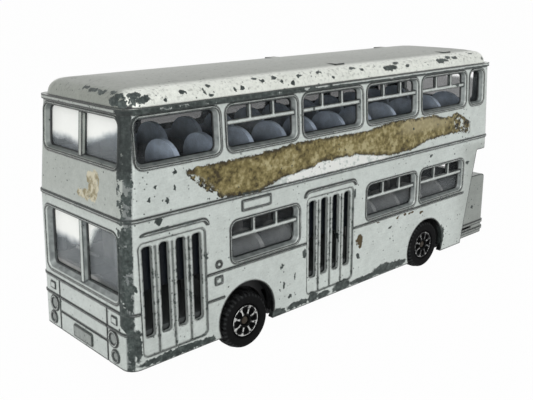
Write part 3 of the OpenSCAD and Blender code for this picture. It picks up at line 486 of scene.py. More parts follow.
def front_fittings(skin, tone):
    """Paint with the dull plate and lamp lenses of the front."""
    across = abs(skin.y)
    plate = across.below(PLATE_HALF_W, 0.3) * abs(skin.z - PLATE_Z).below(PLATE_HALF_H, 0.3)
    tone = (skin.nose * plate * (0.25 + skin.middle * 0.6)).mixed(tone, paint(56, 62, 56))
    discs = []
    for lens_y, lens_z, radius in FRONT_LENSES:
        dy = across - lens_y
        dz = skin.z - lens_z
        discs.append((dy * dy + dz * dz).below(radius * radius, 0.3 * radius * radius))
    return (highest(*discs) * skin.nose * (0.3 + skin.middle * 0.5)).mixed(tone, paint(44, 50, 50))


def shaded_hollows(skin, tone):
    """Paint with painted shade on the inside of the casting, darker than its bare metal, and painted shadow in
    black inside the wheel arches.
    """
    # Painted shade: the casting's inside, beyond the reveals, is nearly black
    inside = skin.depth.above(INSIDE_DEPTH, 0.2) * skin.z.below(GUTTER_Z + 1.0, 0.4)
    tone = inside.mixed(tone, paint(30, 33, 34))
    # Painted shadow: the inside of each wheel arch is black
    along = nearer(skin.x, ARCH_XS)
    up = skin.z - ARCH_Z
    arch = (along * along + up * up).below(ARCH_R * ARCH_R, 3.5)
    arch = arch * skin.behind_side.above(0.175, 0.15) * skin.z.above(1.5, 1.0)
    return arch.mixed(tone, paint(14, 15, 16))


def glue_edge(along, points):
    """Height of an edge of the glue at a place along the bus."""
    x0, x1 = GLUE_ENDS
    z0, z1 = GLUE_ZS
    curve = [((x - x0) / (x1 - x0), (z - z0) / (z1 - z0)) for x, z in points]
    sockets = {"Factor": 1.0, "Value": (along - x0) / (x1 - x0)}
    return along.node("ShaderNodeFloatCurve", {"points": curve}, sockets) * (z1 - z0) + z0


class OldGlue:
    """Glue left along the side by a strip: where it lies, its colours, and paper left under it."""

    def __init__(self, skin):
        self.skin = skin
        x, z = skin.x, skin.z
        self.top = glue_edge(x, GLUE_TOP)
        self.foot = glue_edge(x, GLUE_FOOT)
        self.shake = (skin.fine - 0.5) * 0.9 + (skin.middle - 0.5) * 1.1
        # It flakes at its rear end and along its slanting front end, and is fuller towards the rear
        slant = (x - z * FLAKE_SLANT).above(FLAKE_SLANT_X, 6.0) * z.below(FLAKE_SLANT_Z, 1.0)
        self.flaky = x.below(FLAKE_X, 6.0).high(slant)
        self.fuller = x.below(FULL_X, 10.0) * FULL_SHARE
        self.cover = self.lying()
        self.paper = self.white_paper()

    def lying(self):
        """Where the glue lies."""
        x, z = self.skin.x, self.skin.z
        inside = (self.top - z + self.shake).above(0.0, 0.24) * (z - self.foot + self.shake).above(0.0, 0.24)
        ends = x.above(GLUE_ENDS[0] + 0.75, 1.5) * x.below(GLUE_ENDS[1] - 0.3, 0.6)
        left = (self.skin.spot.noise(0.6, 3.0, 0.7) + self.fuller).rise(0.45, 0.49)
        return inside * ends * self.skin.near_side * (1.0 - self.flaky.rise(0.2, 0.6) * (1.0 - left))

    def white_paper(self):
        """Where white paper shows below the glue."""
        x, z, spot = self.skin.x, self.skin.z, self.skin.spot
        under = (self.foot - z + self.shake * 0.6).above(0.075, 0.35)
        over = (z - PAPER_Z - (self.skin.fine - 0.5) * 1.2).above(0.0, 0.4)
        ends = x.above(PAPER_ENDS[0], 2.0) * x.below(PAPER_ENDS[1], 3.0)
        return under * over * self.skin.near_side * ends * spot.noise(0.45, 5.0, 0.75).rise(0.4, 0.47)

    def colour(self):
        """Olive and brown glue, paler towards its rear and dark where it is thick at its edges."""
        x, z, spot = self.skin.x, self.skin.z, self.skin.spot
        level = spot.noise(0.22, 2.0) * 0.42 + spot.noise(1.0, 3.0, 0.6) * 0.58
        tone = level.ramp(
            (0.36, paint(56, 47, 22)), (0.44, paint(110, 99, 58)),
            (0.53, paint(144, 132, 86)), (0.63, paint(188, 178, 136)))
        pale = x.below(PALE_XS[1], 7.0) * x.above(PALE_XS[0], 5.0) * z.above(PALE_Z, 2.5)
        tone = (pale * 0.65).mixed(tone, paint(186, 175, 138))
        tone = (self.flaky * 0.35).mixed(tone, paint(74, 62, 36))
        margin = (self.top - z).low(z - self.foot)
        rim = (margin + (self.skin.middle - 0.5) * 3.0).rise(0.7, 0.0)
        tone = (rim * 0.8).mixed(tone, paint(66, 52, 26))
        crumbs = (spot.noise(0.8, 3.0, 0.65) - self.fuller * 0.6).rise(0.43, 0.49)
        crumbs = crumbs * (margin.rise(1.1, 0.1) * 0.8).high(self.flaky.rise(0.2, 0.6))
        return crumbs.mixed(tone, paint(30, 25, 13))


def front_scraps(skin, tone):
    """Paint with the scraps of glue on the front."""
    scraps = nearest_spot(skin.ragged, on_front(FRONT_SCRAPS)).rise(1.02, 0.88)
    scraps = scraps * skin.spot.noise(0.9, 4.0, 0.7).rise(0.3, 0.4)
    return scraps.mixed(tone, skin.middle.rise(0.4, 0.6).mixed(paint(142, 132, 98), paint(206, 200, 176)))


def chipped(skin):
    """Chips on both sides, the skirt, the roof's edges and the corner of the roof."""
    along, across, up = skin.ragged.parts()
    shifted = along + skin.y.below(-0.5, 1.0) * FAR_SHIFT
    both_sides = along.node("ShaderNodeCombineXYZ", {}, {0: shifted, 1: abs(across), 2: up})
    spots = on_side(SIDE_CHIPS) + on_side(SKIRT_CHIPS, 2.4) + on_shoulder(SHOULDER_CHIPS)
    return nearest_spot(both_sides, [*spots, *on_brow(BROW_CHIPS), *CORNER_PATCH]).rise(1.05, 0.85)


def worn_corners(skin):
    """Bare metal down the near and the far upright corner of the front."""
    spot, z = skin.spot, skin.z
    along, across, up = spot.shaken(1.3, 0.9).shaken(3.5, 0.4).parts()
    strip = (skin.front_x - along).below(CORNER_FRONT, 0.2)
    under_gutter = z.below(GUTTER_Z + 0.35, 0.3)
    narrow = z.below(CORNER_NARROW_Z, 2.0) * CORNER_NARROW
    wide = (skin.side_y - across + narrow).below(CORNER_NEAR, 0.3)
    full = z.above(CORNER_FULL_Z, 1.5).high(z.below(BELT_Z - 1.5, 2.0) * 0.8).high(0.4)
    patchy = (spot.noise(0.75, 4.0, 0.65) - 0.62 + full * 0.32).rise(-0.02, 0.05)
    near = strip * wide * patchy * under_gutter
    thin = (skin.side_y + across).below(CORNER_FAR, 0.4) * spot.noise(0.6, 4.0, 0.65).rise(0.44, 0.52)
    return near, strip * thin * under_gutter


def worn_gutter(skin):
    """Bare metal on the gutter's face, thinner towards the rear."""
    z = skin.z
    face = z.above(GUTTER_Z - 0.65, 0.3) * z.below(GUTTER_Z + 0.525, 0.25) * skin.behind_side.below(0.2, 0.2)
    thinner = skin.x.below(8.5, 27.0) * abs(z - (GUTTER_Z - 0.3)).above(0.275, 0.25) * 0.3
    return face * (skin.spot.noise(0.5, 4.0, 0.7) - thinner).rise(0.33, 0.42)


def worn_edges(skin):
    """Rubbed edges, and small nicks along every bead and frame."""
    rubbed = skin.edge.rise(0.05, 0.2) * skin.spot.noise(0.32, 5.0, 0.7).rise(0.5, 0.62)
    nicks = skin.edge.rise(0.002, 0.01) * skin.spot.noise(0.7, 4.0, 0.7).rise(0.54, 0.58)
    return rubbed.high(nicks * skin.z.below(GUTTER_Z - 0.4, 0.8))


def flecked(skin):
    """Scattered flecks of two sizes."""
    spot = skin.spot
    flecks = spot.shaken(1.4, 0.5).cells(0.3).rise(0.109, 0.073) * spot.noise(0.18, 2.0).rise(0.5, 0.66)
    specks = spot.shaken(2.5, 0.3).cells(0.85).rise(0.19, 0.12) * spot.noise(0.3, 3.0).rise(0.45, 0.6)
    return flecks.high(specks)


def bare_metal(skin, corner):
    """Dark grey metal, darker high on the near corner."""
    metal = skin.spot.noise(1.1, 4.0, 0.65).ramp(
        (0.25, paint(36, 41, 40)), (0.5, paint(62, 70, 68)), (0.8, paint(104, 112, 109)))
    return (corner * skin.z.above(CORNER_FULL_Z + 0.25, 3.0) * 0.6).mixed(metal, paint(28, 32, 32))


def silver_paint(finish):
    """Satin silver paint with painted light, worn to bare metal at edges, with dirt and painted shade in its
    corners and old glue on it.
    """
    material, shader, place = new_finish("worn_silver_paint")
    skin = CastSkin(place, finish)
    tone = dirty_and_shaded(skin, finish, mottled(skin, lit_and_shaded_paint(skin, finish)))
    tone = shaded_hollows(skin, front_fittings(skin, tone))

    glue = OldGlue(skin)
    tone = glue.paper.mixed(tone, paint(252, 254, 250))
    tone = glue.cover.mixed(tone, glue.colour())
    tone = front_scraps(skin, tone)

    corner, far_corner = worn_corners(skin)
    bare = highest(chipped(skin), corner, far_corner, worn_gutter(skin), worn_edges(skin), flecked(skin))
    tone = bare.mixed(tone, bare_metal(skin, corner))
    rust = nearest_spot(skin.ragged, on_side(RUST_SPOTS)).rise(1.03, 0.8) * skin.middle.rise(0.3, 0.42)
    tone = rust.mixed(tone, skin.fine.mixed(paint(52, 42, 24), paint(98, 82, 50)))

    dull = highest(glue.cover, rust, glue.paper)
    rough = 0.36 + (skin.fine - 0.5) * 0.14 + bare * 0.08 + dull * 0.38
    metallic = 0.34 - dull.high(skin.dirt_and_shade_line * 0.8) * 0.34 + bare * 0.3
    height = glue.cover * (0.7 + (skin.spot.noise(1.6, 4.0, 0.7) - 0.5) * 1.2) - bare * 0.9
    height = height + (skin.fine - 0.5) * 0.16 + (skin.grain - 0.5) * 0.12
    feed(shader, Base_Color=tone, Roughness=rough.low(1.0), Metallic=metallic.high(0.0).low(1.0),
         Normal=height.bump(0.55, 0.09, Normal=skin.rounded), Specular_IOR_Level=0.5)
    return material


def base_finish(finish):
    """Thin dark paint on the baseplate, rubbed at its edges."""
    material, shader, place = new_finish("dark_base_paint")
    rounded, edge = edges(place, finish.edge_radius, 4)
    cloud = place.noise(0.35, 5.0, 0.65)
    worn = edge.rise(0.04, 0.2) * cloud.rise(0.42, 0.6)
    tone = worn.mixed(cloud.mixed(finish.base, paint(60, 60, 61)), paint(92, 96, 94))
    feed(shader, Base_Color=tone, Roughness=0.42 + cloud * 0.2, Metallic=worn * 0.6,
         Normal=place.noise(3.0, 3.0).bump(0.3, 0.04, Normal=rounded))
    return material


def lower_shade(place, tone):
    """The lower deck's plastic, with painted shade low down and in the cab, and painted shadow in black in the
    wheel housings.
    """
    spot, x, y, z = cast_frame(place)
    cab = x.above(CAB_X, 1.5) * y.above(CAB_Y, 4.0)
    # Painted shade low on the lower deck and in the cab
    tone = z.below(LOWER_SHADE_Z, 5.0).high(cab).mixed(tone, paint(84, 88, 88))
    # Painted shadow: the wheel housings are black
    housing_shadow = abs(y).above(HOUSING_Y, 0.6) * about_axle(place)[0].below(HOUSING_R, 0.3)
    return housing_shadow.mixed(tone, paint(18, 19, 20))


def upper_shade(place, tone):
    """The upper deck's plastic, with painted shade low down between the seats."""
    return cast_frame(place)[3].below(UPPER_SHADE_Z, 5.0).mixed(tone, paint(26, 31, 40))


def seat_plastic(name, colour, shade):
    """Moulded plastic of the seats, with dust and rubbed seat tops, shaded for its deck."""
    material, shader, place = new_finish(name)
    spot = cast_frame(place)[0]
    cloud = spot.noise(0.3, 5.0, 0.6)
    fine = spot.noise(2.6, 3.0)
    dull = tuple(c * 0.62 for c in colour[:3]) + (1.0,)
    tone = (cloud * 0.9 + (fine - 0.5) * 0.3).rise(0.25, 0.72).mixed(dull, tuple(colour))
    feed(shader, Base_Color=shade(place, tone), Roughness=0.42 + cloud * 0.22, Normal=fine.bump(0.25, 0.06),
         Specular_IOR_Level=0.4)
    return material


# The decks' windows: haze, the painted white glow on the front panes, the foot of the vents, dust, and grime with
# painted shade on the darkened panes, with its two tones
LOWER_WINDOWS = {
    "cloudy": 0.02, "white_glow_slope": 1.15, "white_glow_z": 24.2, "vent_z": 26.5, "dust": 0.07,
    "grime_and_shade": 0.8, "tones": (paint(12, 15, 19), paint(28, 33, 40)),
}
UPPER_WINDOWS = {
    "cloudy": 0.01, "white_glow_slope": 0.34, "white_glow_z": 45.4, "vent_z": 48.5, "dust": 0.0,
    "grime_and_shade": 0.62, "tones": (paint(26, 31, 38), paint(74, 82, 90)),
}


def door_panes(x, y, z):
    """The lower moulding behind the doors."""
    return nearer(x, DOOR_XS).below(DOOR_HALF + 0.25, 0.5) * y.above(DOOR_PANE_Y, 1.0)


def rear_pane(x, y, z):
    """The upper moulding's rear window."""
    return x.below(REAR_X + 2.45, 1.5) * z.below(REAR_PANE_TOP_Z, 1.0)


def clear_plastic(name, tint, deck, dark_panes):
    """Clear window plastic, hazed and scratched, with a painted white glow in front and grime with painted shade
    on the far panes.
    """
    material, shader, place = new_finish(name)
    spot, x, y, z = cast_frame(place)
    haze = spot.noise(0.16, 4.0, 0.65)
    scratch = spot.times(0.5, 0.5, 3.0).noise(1.4, 3.0, 0.7).rise(0.6, 0.72)

    front = x.above(FRONT_PANE_X, 1.5)
    along, across, up = spot.shaken(0.25, 2.5).parts()
    # Painted light: a white glow over the front panes, above a hill-shaped foot
    hill = across.high(0.0) * deck["white_glow_slope"] + deck["white_glow_z"]
    white_glow = front * (up - hill).above(0.2, 2.4)

    last_vent = x.below(LAST_BAY_X, 2.0) * z.above(deck["vent_z"], 1.0)
    # Grime and painted shade darken the far panes and the deck's own dark panes, behind the doors below and the
    # rear pane above
    grime_and_shade = ((1.0 - front) * y.below(FAR_PANE_Y, 1.0) * (1.0 - last_vent)).high(dark_panes(x, y, z))
    dust = (1.0 - front) * z.below(PANE_DUST_Z, 4.0) * deck["dust"]
    alpha = deck["cloudy"] + haze.rise(0.45, 0.75) * 0.04 + scratch * 0.03 + dust
    alpha = alpha + front * 0.14 + white_glow * 0.72 + grime_and_shade * deck["grime_and_shade"]

    tone = white_glow.high(haze * 0.6).mixed(tuple(tint), paint(253, 254, 251))
    tone = grime_and_shade.mixed(tone, haze.mixed(*deck["tones"]))
    # Painted light: the front panes glow a little, though they are no lamp
    glow = white_glow.mixed((0.0, 0.0, 0.0, 1.0), (0.16, 0.165, 0.155, 1.0))
    feed(shader, Base_Color=tone, Alpha=alpha.low(0.93), Roughness=0.12 + haze * 0.16,
         Specular_IOR_Level=0.12, Emission_Color=glow, Emission_Strength=1.0)
    return material


def axle_steel(finish):
    """Plain steel wire, dulled and a little rusty."""
    material, shader, place = new_finish("dull_axle_steel")
    cloud = place.noise(0.9, 4.0, 0.65)
    turned = place.times(1.0, 12.0, 1.0).noise(1.2, 3.0)
    tone = cloud.rise(0.38, 0.66).mixed(finish.axle, paint(54, 45, 36))
    feed(shader, Base_Color=tone, Roughness=0.35 + cloud * 0.3, Metallic=0.85 - cloud * 0.3,
         Normal=turned.bump(0.25, 0.03))
    return material


def tyre_plastic(finish):
    """Black wheel plastic, with ridges round its tread and shoulder, dust on them, and the ridges paler as rubbed
    wear and a painted highlight.
    """
    material, shader, place = new_finish("black_wheel_plastic")
    reach, angle = about_axle(place)
    cloud = place.noise(0.7, 4.0, 0.65)
    fine = place.noise(3.5, 3.0)
    dust = reach.above(TREAD_DUST_R, 1.1) * cloud.rise(0.4, 0.7)
    tone = (dust * 0.22 + fine * 0.05).mixed(finish.tyre, paint(92, 95, 96))
    ridge = (angle * TREAD_RIDGES).maths("SINE").rise(-0.1, 0.5) * reach.above(TREAD_RS[0], 0.25)
    # The paler ridges are rubbed wear and a painted highlight
    rubbed = ridge * reach.below(TREAD_RS[1], 0.25) * (0.05 + cloud * 0.25)
    tone = rubbed.mixed(tone, paint(104, 107, 108))
    feed(shader, Base_Color=tone, Roughness=0.66 + cloud * 0.2, Specular_IOR_Level=0.08,
         Normal=(fine * 0.4 + ridge * 0.7).bump(0.6, 0.15))
    return material


def hub_foil(finish):
    """Hot-stamped silver on the hubs, rubbed through in places and more at the rear."""
    material, shader, place = new_finish("hub_foil")
    cloud = place.noise(1.6, 4.0, 0.7)
    worn = (cloud + place.parts()[0].below(-5.0, 10.0) * 0.1).rise(0.47, 0.58)
    tone = worn.mixed(finish.foil, paint(40, 41, 42))
    feed(shader, Base_Color=tone, Roughness=0.3 + cloud * 0.25, Metallic=0.75 - worn * 0.6,
         Normal=cloud.bump(0.5, 0.08))
    return material


def dressed(node, name, material, smooth_angle):
    """A copy of a CAD node with its triangles joined and its hard edges kept, in a new finish."""
    mesh = frame["nodes"][node].data.copy()
    mesh.name = name
    if "custom_normal" in mesh.attributes:
        mesh.attributes.remove(mesh.attributes["custom_normal"])
    form = bmesh.new()
    form.from_mesh(mesh)
    bmesh.ops.remove_doubles(form, verts=form.verts, dist=2e-6)
    bmesh.ops.dissolve_degenerate(form, edges=form.edges, dist=1e-7)
    for face in form.faces:
        face.smooth = True
        face.material_index = 0
    for edge in form.edges:
        edge.smooth = len(edge.link_faces) == 2 and edge.calc_face_angle(math.pi) < smooth_angle
    form.to_mesh(mesh)
    form.free()
    mesh.materials.clear()
    mesh.materials.append(material)
    piece = bpy.data.objects.new(name, mesh)
    bpy.context.scene.collection.objects.link(piece)
    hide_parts(node)
    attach(piece, next(b for b, nodes in frame["record"]["behaviour"]["bodies"].items() if node in nodes))
    return piece


def foil_inputs(tree):
    """Names the sizes of a hub's silver as inputs of its tree."""
    lengths = (("Inner Radius", 1.55), ("Outer Radius", 3.3), ("Width", 1.0), ("Ring Radius", 3.42),
               ("Ring Width", 0.2), ("Thickness", 0.05))
    inputs = [("Wedges", "Int", 8), ("Waist", "Float", 0.42), ("Place", "Vector", (0, 0, 0)),
              ("Turn", "Rotation", (0, 0, 0))]
    inputs += [(name, "Float", length * MM) for name, length in lengths]
    for name, kind, default in inputs:
        socket = tree.interface.new_socket(name, in_out="INPUT", socket_type="NodeSocket" + kind)
        socket.default_value = default
    tree.interface.new_socket("Geometry", in_out="OUTPUT", socket_type="NodeSocketGeometry")


def foil_tree(material):
    """Geometry nodes for a hub's silver: wedges round the hub and a ring round them."""
    tree = bpy.data.node_groups.new("hub_silver", "GeometryNodeTree")
    foil_inputs(tree)

    def node(kind, settings=None, sockets=None):
        made = tree.nodes.new(kind)
        for name, value in (settings or {}).items():
            setattr(made, name, value)
        for key, value in (sockets or {}).items():
            if isinstance(value, bpy.types.NodeSocket):
                tree.links.new(value, made.inputs[key])
            else:
                made.inputs[key].default_value = value
        return made.outputs

    def maths(operation, *values):
        return node("ShaderNodeMath", {"operation": operation}, dict(enumerate(values)))[0]

    # One wedge: a grid from the inner to the outer radius, waisted in the middle
    given = node("NodeGroupInput")
    length = maths("SUBTRACT", given["Outer Radius"], given["Inner Radius"])
    half_way = maths("MULTIPLY", maths("ADD", given["Inner Radius"], given["Outer Radius"]), 0.5)
    sizes = {"Size X": length, "Size Y": given["Width"], "Vertices X": 9, "Vertices Y": 4}
    grid = node("GeometryNodeMeshGrid", {}, sizes)
    place = node("ShaderNodeSeparateXYZ", {}, {0: node("GeometryNodeInputPosition")[0]})
    share = maths("DIVIDE", place[0], length)
    waist = maths("MULTIPLY", maths("MULTIPLY", share, share), 4.0)
    width = maths("ADD", given["Waist"], maths("MULTIPLY", waist, maths("SUBTRACT", 1.0, given["Waist"])))
    narrow = maths("ADD", 0.82, maths("MULTIPLY", share, 0.55))
    across = maths("MULTIPLY", maths("MULTIPLY", place[1], width), narrow)
    flat = node("ShaderNodeCombineXYZ", {}, {0: maths("ADD", place[0], half_way), 1: across})
    wedge = node("GeometryNodeSetPosition", {}, {"Geometry": grid[0], "Position": flat[0]})
    wedge = node("GeometryNodeExtrudeMesh", {}, {
        "Mesh": wedge[0], "Offset": (0, 0, 1), "Offset Scale": given["Thickness"], "Individual": False})

    # The wedges round the hub
    step = maths("DIVIDE", 2 * math.pi, given["Wedges"])
    turn = maths("MULTIPLY", maths("ADD", node("GeometryNodeInputIndex")[0], 0.5), step)
    points = node("GeometryNodePoints", {}, {"Count": given["Wedges"], "Position": (0, 0, 0)})
    about = node("FunctionNodeAxisAngleToRotation", {}, {"Axis": (0, 0, 1), "Angle": turn})
    spread = node("GeometryNodeInstanceOnPoints", {}, {
        "Points": points[0], "Instance": wedge[0], "Rotation": about[0]})

    # The ring, a flat band swept round a circle
    circle = node("GeometryNodeCurvePrimitiveCircle", {}, {"Resolution": 64, "Radius": given["Ring Radius"]})
    band = node("GeometryNodeCurvePrimitiveQuadrilateral", {}, {
        "Width": given["Ring Width"], "Height": given["Thickness"]})
    ring = node("GeometryNodeCurveToMesh", {}, {"Curve": circle[0], "Profile Curve": band[0]})
    joined = tree.nodes.new("GeometryNodeJoinGeometry")
    tree.links.new(spread[0], joined.inputs[0])
    tree.links.new(ring[0], joined.inputs[0])
    moved = node("GeometryNodeTransform", {}, {
        "Geometry": joined.outputs[0], "Translation": given["Place"], "Rotation": given["Turn"]})
    real = node("GeometryNodeRealizeInstances", {}, {0: moved[0]})
    done = node("GeometryNodeSetMaterial", {}, {"Geometry": real[0], "Material": material})
    node("NodeGroupOutput", {}, {0: done[0]})
    return tree


def from_tree(name, tree, values):
    """A plain mesh object made by a node tree from named values."""
    maker = bpy.data.objects.new(name, bpy.data.meshes.new(name + "_start"))
    bpy.context.scene.collection.objects.link(maker)
    step = maker.modifiers.new("make", "NODES")
    step.node_group = tree
    for item in tree.interface.items_tree:
        if item.in_out == "INPUT" and item.name in values:
            step[item.identifier] = values[item.name]
    bpy.context.view_layer.update()
    graph = bpy.context.evaluated_depsgraph_get()
    mesh = bpy.data.meshes.new_from_object(maker.evaluated_get(graph))
    if not mesh.polygons:
        raise RuntimeError(f"{name}: the node tree made nothing")
    mesh.name = name
    maker.modifiers.remove(step)
    maker.data = mesh
    return maker


def seen_ray(camera_ray):
    """1 for rays from the camera, in mirrors and through glass."""
    path = camera_ray.socket.node
    return highest(camera_ray, Wire(path.outputs["Is Glossy Ray"]), Wire(path.outputs["Is Transmission Ray"]))


def set_camera(scene, lens):
    """The camera, looking from its place at its aim and rolled a little."""
    view = bpy.data.cameras.new("view")
    view.sensor_width, view.lens, view.clip_start = SENSOR_WIDTH, lens, 0.005
    camera = bpy.data.objects.new("view", view)
    scene.collection.objects.link(camera)
    look = (Vector(AIM) - Vector(EYE)).to_track_quat("-Z", "Y").to_matrix().to_4x4()
    camera.matrix_world = Matrix.Translation(EYE) @ look @ Matrix.Rotation(ROLL, 4, "Z")
    scene.camera = camera


def add_lamp(scene, name, power, place, width):
    """A square lamp that faces the bus."""
    lamp = bpy.data.lights.new(name, "AREA")
    lamp.energy, lamp.size = power, width
    holder = bpy.data.objects.new(name, lamp)
    scene.collection.objects.link(holder)
    holder.location = place
    holder.rotation_euler = (Vector(LAMP_AIM) - Vector(place)).to_track_quat("-Z", "Y").to_euler()


def set_sky(scene, level):
    """Even light from all round, seen as plain white."""
    world = bpy.data.worlds.new("studio")
    scene.world = world
    world.use_nodes = True
    back = world.node_tree.nodes["Background"]
    seen = seen_ray(Wire(world.node_tree.nodes.new("ShaderNodeLightPath").outputs["Is Camera Ray"]))
    back.inputs["Color"].default_value = (1, 1, 1, 1)
    strength = seen * (1.0 - level) + level
    world.node_tree.links.new(strength.socket, back.inputs["Strength"])


def floor_white():
    """White floor that is seen as almost plain white and keeps a little shadow."""
    material, shader, place = new_finish("white_floor")
    feed(shader, Base_Color=(0.86, 0.86, 0.86, 1.0), Roughness=0.9, Specular_IOR_Level=0.0)
    seen = seen_ray(place.node("ShaderNodeLightPath"))
    glow = place.node("ShaderNodeEmission", {}, {"Color": (1, 1, 1, 1), "Strength": 1.0})
    lit = place.node("ShaderNodeMixShader", {}, {0: seen * 0.98, 1: Wire(shader.outputs[0]), 2: glow})
    end = next(n for n in material.node_tree.nodes if n.type == "OUTPUT_MATERIAL")
    material.node_tree.links.new(lit.socket, end.inputs["Surface"])
    return material


def add_floor(scene, size):
    """A square floor under the bus."""
    half = size / 2
    corners = [(-half, -half, 0), (half, -half, 0), (half, half, 0), (-half, half, 0)]
    mesh = bpy.data.meshes.new("floor")
    mesh.from_pydata(corners, [], [(0, 1, 2, 3)])
    mesh.materials.append(floor_white())
    floor = bpy.data.objects.new("floor", mesh)
    scene.collection.objects.link(floor)


def chosen_colour(name, description, *levels):
    """A colour that a user can change, given in screen levels."""
    return bpy.props.FloatVectorProperty(
        name=name, description=description, subtype="COLOR", size=4, min=0, max=1, default=paint(*levels))


def chosen_length(name, description, size):
    """A length that a user can change, given in millimetres."""
    return bpy.props.FloatProperty(
        name=name, description=description, unit="LENGTH", min=0, default=size * MM)


def chosen_angle(name, description, degrees):
    """An angle that a user can change, given in degrees."""
    return bpy.props.FloatProperty(
        name=name, description=description, subtype="ANGLE", default=math.radians(degrees))


class ToyBusFinish(bpy.types.PropertyGroup):
    """Colours and wear of the bus."""

    paint: chosen_colour("Paint", "Silver of the walls", 213, 220, 216)
    # Painted light: the roof colour is painted shade and the shoulder colour a painted highlight
    roof_shade: chosen_colour("Roof", "Duller silver of the roof", 146, 150, 142)
    shoulder: chosen_colour("Shoulder", "Bright silver of the roof's edges", 243, 246, 238)
    # The dirt colour of the lines beside the beads stands for dirt and painted shade
    dirt_and_shade: chosen_colour("Dirt", "Dirt in the lines beside the beads", 14, 17, 16)
    base: chosen_colour("Base", "Paint of the baseplate", 44, 44, 46)
    lower_seats: chosen_colour("Lower seats", "Plastic of the lower deck", 176, 177, 175)
    upper_seats: chosen_colour("Upper seats", "Plastic of the upper deck", 206, 222, 242)
    glass: chosen_colour("Windows", "Tint of the clear mouldings", 206, 218, 226)
    axle: chosen_colour("Axles", "Steel of the axles", 72, 66, 58)
    tyre: chosen_colour("Wheels", "Plastic of the wheels", 10, 10, 11)
    foil: chosen_colour("Hub silver", "Silver of the hubs", 206, 207, 205)
    edge_radius: chosen_length("Edge radius", "Rounding of the cast edges", 0.34)
    # Reach and strength of those lines of dirt and painted shade
    dirt_and_shade_width: chosen_length("Dirt width", "Reach of the dirt beside an edge", 0.6)
    dirt_and_shade_strength: bpy.props.FloatProperty(
        name="Dirt strength", description="How dark the dirt beside an edge is", subtype="FACTOR",
        min=0, max=1, default=0.97)
    smooth_angle: chosen_angle("Smooth below", "Mouldings are smoothed over edges flatter than this", 27)
    turned_angle: chosen_angle("Smooth turned", "The same for wheels and axles", 40)


class ToyBusStage(bpy.types.PropertyGroup):
    """Light, floor and camera."""

    sky: bpy.props.FloatProperty(name="Sky", description="Light from all round", min=0, default=0.42)
    key: bpy.props.FloatProperty(
        name="Key", description="Power of the large lamp by the doors", unit="POWER", min=0, default=2.1)
    fill: bpy.props.FloatProperty(
        name="Fill", description="Power of the lamp in front", unit="POWER", min=0, default=0.9)
    floor_size: bpy.props.FloatProperty(
        name="Floor", description="Width of the floor", unit="LENGTH", min=1, default=8.0)
    lens: bpy.props.FloatProperty(
        name="Lens", description="Focal length of the camera", unit="CAMERA", default=50.376)


class BUS_OT_casting(bpy.types.Operator):
    """Finish the body casting in worn silver paint"""
    bl_idname = "bus.casting"
    bl_label = "Body casting"

    def execute(self, context):
        finish = context.scene.toy_bus_finish
        dressed("body_casting", "cast_body", silver_paint(finish), finish.smooth_angle)
        return {"FINISHED"}


class BUS_OT_baseplate(bpy.types.Operator):
    """Finish the baseplate in dark paint"""
    bl_idname = "bus.baseplate"
    bl_label = "Baseplate"

    def execute(self, context):
        finish = context.scene.toy_bus_finish
        dressed("baseplate", "base_plate", base_finish(finish), finish.smooth_angle)
        return {"FINISHED"}


class BUS_OT_decks(bpy.types.Operator):
    """Finish the two seat mouldings"""
    bl_idname = "bus.decks"
    bl_label = "Seat mouldings"

    def execute(self, context):
        finish = context.scene.toy_bus_finish
        pale = seat_plastic("pale_seat_plastic", finish.lower_seats, lower_shade)
        dressed("lower_deck", "lower_seats", pale, finish.smooth_angle)
        blue = seat_plastic("blue_seat_plastic", finish.upper_seats, upper_shade)
        dressed("upper_deck", "upper_seats", blue, finish.smooth_angle)
        return {"FINISHED"}


class BUS_OT_windows(bpy.types.Operator):
    """Finish the two clear window mouldings"""
    bl_idname = "bus.windows"
    bl_label = "Window mouldings"

    def execute(self, context):
        finish = context.scene.toy_bus_finish
        lower = clear_plastic("lower_clear_plastic", finish.glass, LOWER_WINDOWS, door_panes)
        dressed("lower_glazing", "lower_windows", lower, finish.smooth_angle)
        upper = clear_plastic("upper_clear_plastic", finish.glass, UPPER_WINDOWS, rear_pane)
        dressed("upper_glazing", "upper_windows", upper, finish.smooth_angle)
        return {"FINISHED"}


class BUS_OT_axles(bpy.types.Operator):
    """Finish the axles in dull steel"""
    bl_idname = "bus.axles"
    bl_label = "Axles"

    def execute(self, context):
        finish = context.scene.toy_bus_finish
        steel = axle_steel(finish)
        for end in ("front", "rear"):
            dressed(f"{end}_axle", f"{end}_axle_wire", steel, finish.turned_angle)
        return {"FINISHED"}


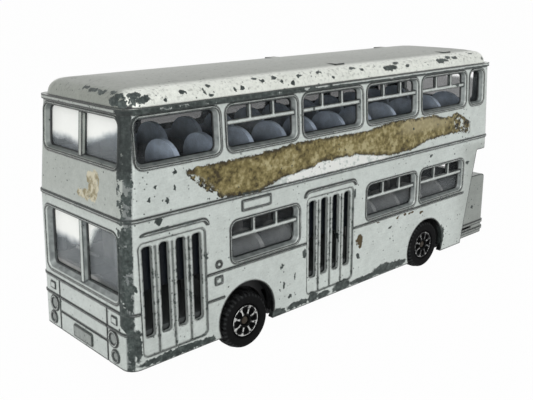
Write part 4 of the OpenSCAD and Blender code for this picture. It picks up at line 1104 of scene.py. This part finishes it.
class BUS_OT_wheels(bpy.types.Operator):
    """Finish the four wheels and stamp the silver on their hubs"""
    bl_idname = "bus.wheels"
    bl_label = "Wheels"

    def execute(self, context):
        finish = context.scene.toy_bus_finish
        plastic = tyre_plastic(finish)
        tree = foil_tree(hub_foil(finish))
        for end, sign in (("front", 1), ("rear", -1)):
            for near, side in (("near", 1), ("far", -1)):
                body = f"wheel_{end}_{near}"
                dressed(body, f"{end}_{near}_tyre", plastic, finish.turned_angle)
                foil = from_tree(f"{end}_{near}_hub", tree, {
                    "Place": (sign * WHEEL_X * MM, side * (WHEEL_FACE_Y - FOIL_SINK) * MM, WHEEL_R * MM),
                    "Turn": (-side * math.pi / 2, 0.0, 0.0)})
                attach(foil, body)
        return {"FINISHED"}


class BUS_OT_stage(bpy.types.Operator):
    """Set the camera, the lamps, the sky and the floor"""
    bl_idname = "bus.stage"
    bl_label = "Stage"

    def execute(self, context):
        scene, stage = context.scene, context.scene.toy_bus_stage
        scene.view_settings.view_transform = "Standard"
        set_camera(scene, stage.lens)
        add_lamp(scene, "key_lamp", stage.key, KEY_PLACE, KEY_WIDTH)
        add_lamp(scene, "front_lamp", stage.fill, FILL_PLACE, FILL_WIDTH)
        set_sky(scene, stage.sky)
        add_floor(scene, stage.floor_size)
        return {"FINISHED"}


class BUS_PT_panel(bpy.types.Panel):
    """Lists the bus's pieces and finishes"""
    bl_idname = "BUS_PT_panel"
    bl_label = "Toy Bus"
    bl_space_type = "VIEW_3D"
    bl_region_type = "UI"
    bl_category = "Toy Bus"

    def draw(self, context):
        layout = self.layout
        for step in STEPS:
            layout.operator(step.bl_idname)
        for group in (context.scene.toy_bus_finish, context.scene.toy_bus_stage):
            box = layout.box()
            for name in group.bl_rna.properties.keys():
                if name not in ("rna_type", "name"):
                    box.prop(group, name)


STEPS = (
    BUS_OT_casting, BUS_OT_baseplate, BUS_OT_decks, BUS_OT_windows, BUS_OT_axles, BUS_OT_wheels, BUS_OT_stage,
)
CLASSES = (ToyBusFinish, ToyBusStage, *STEPS, BUS_PT_panel)


def register():
    for kind in CLASSES:
        bpy.utils.register_class(kind)
    bpy.types.Scene.toy_bus_finish = bpy.props.PointerProperty(type=ToyBusFinish)
    bpy.types.Scene.toy_bus_stage = bpy.props.PointerProperty(type=ToyBusStage)


def unregister():
    del bpy.types.Scene.toy_bus_stage
    del bpy.types.Scene.toy_bus_finish
    for kind in reversed(CLASSES):
        bpy.utils.unregister_class(kind)


def main():
    register()
    bus = bpy.ops.bus
    for step in (bus.casting, bus.baseplate, bus.decks, bus.windows, bus.axles, bus.wheels, bus.stage):
        step()


if __name__ == "__main__":
    main()
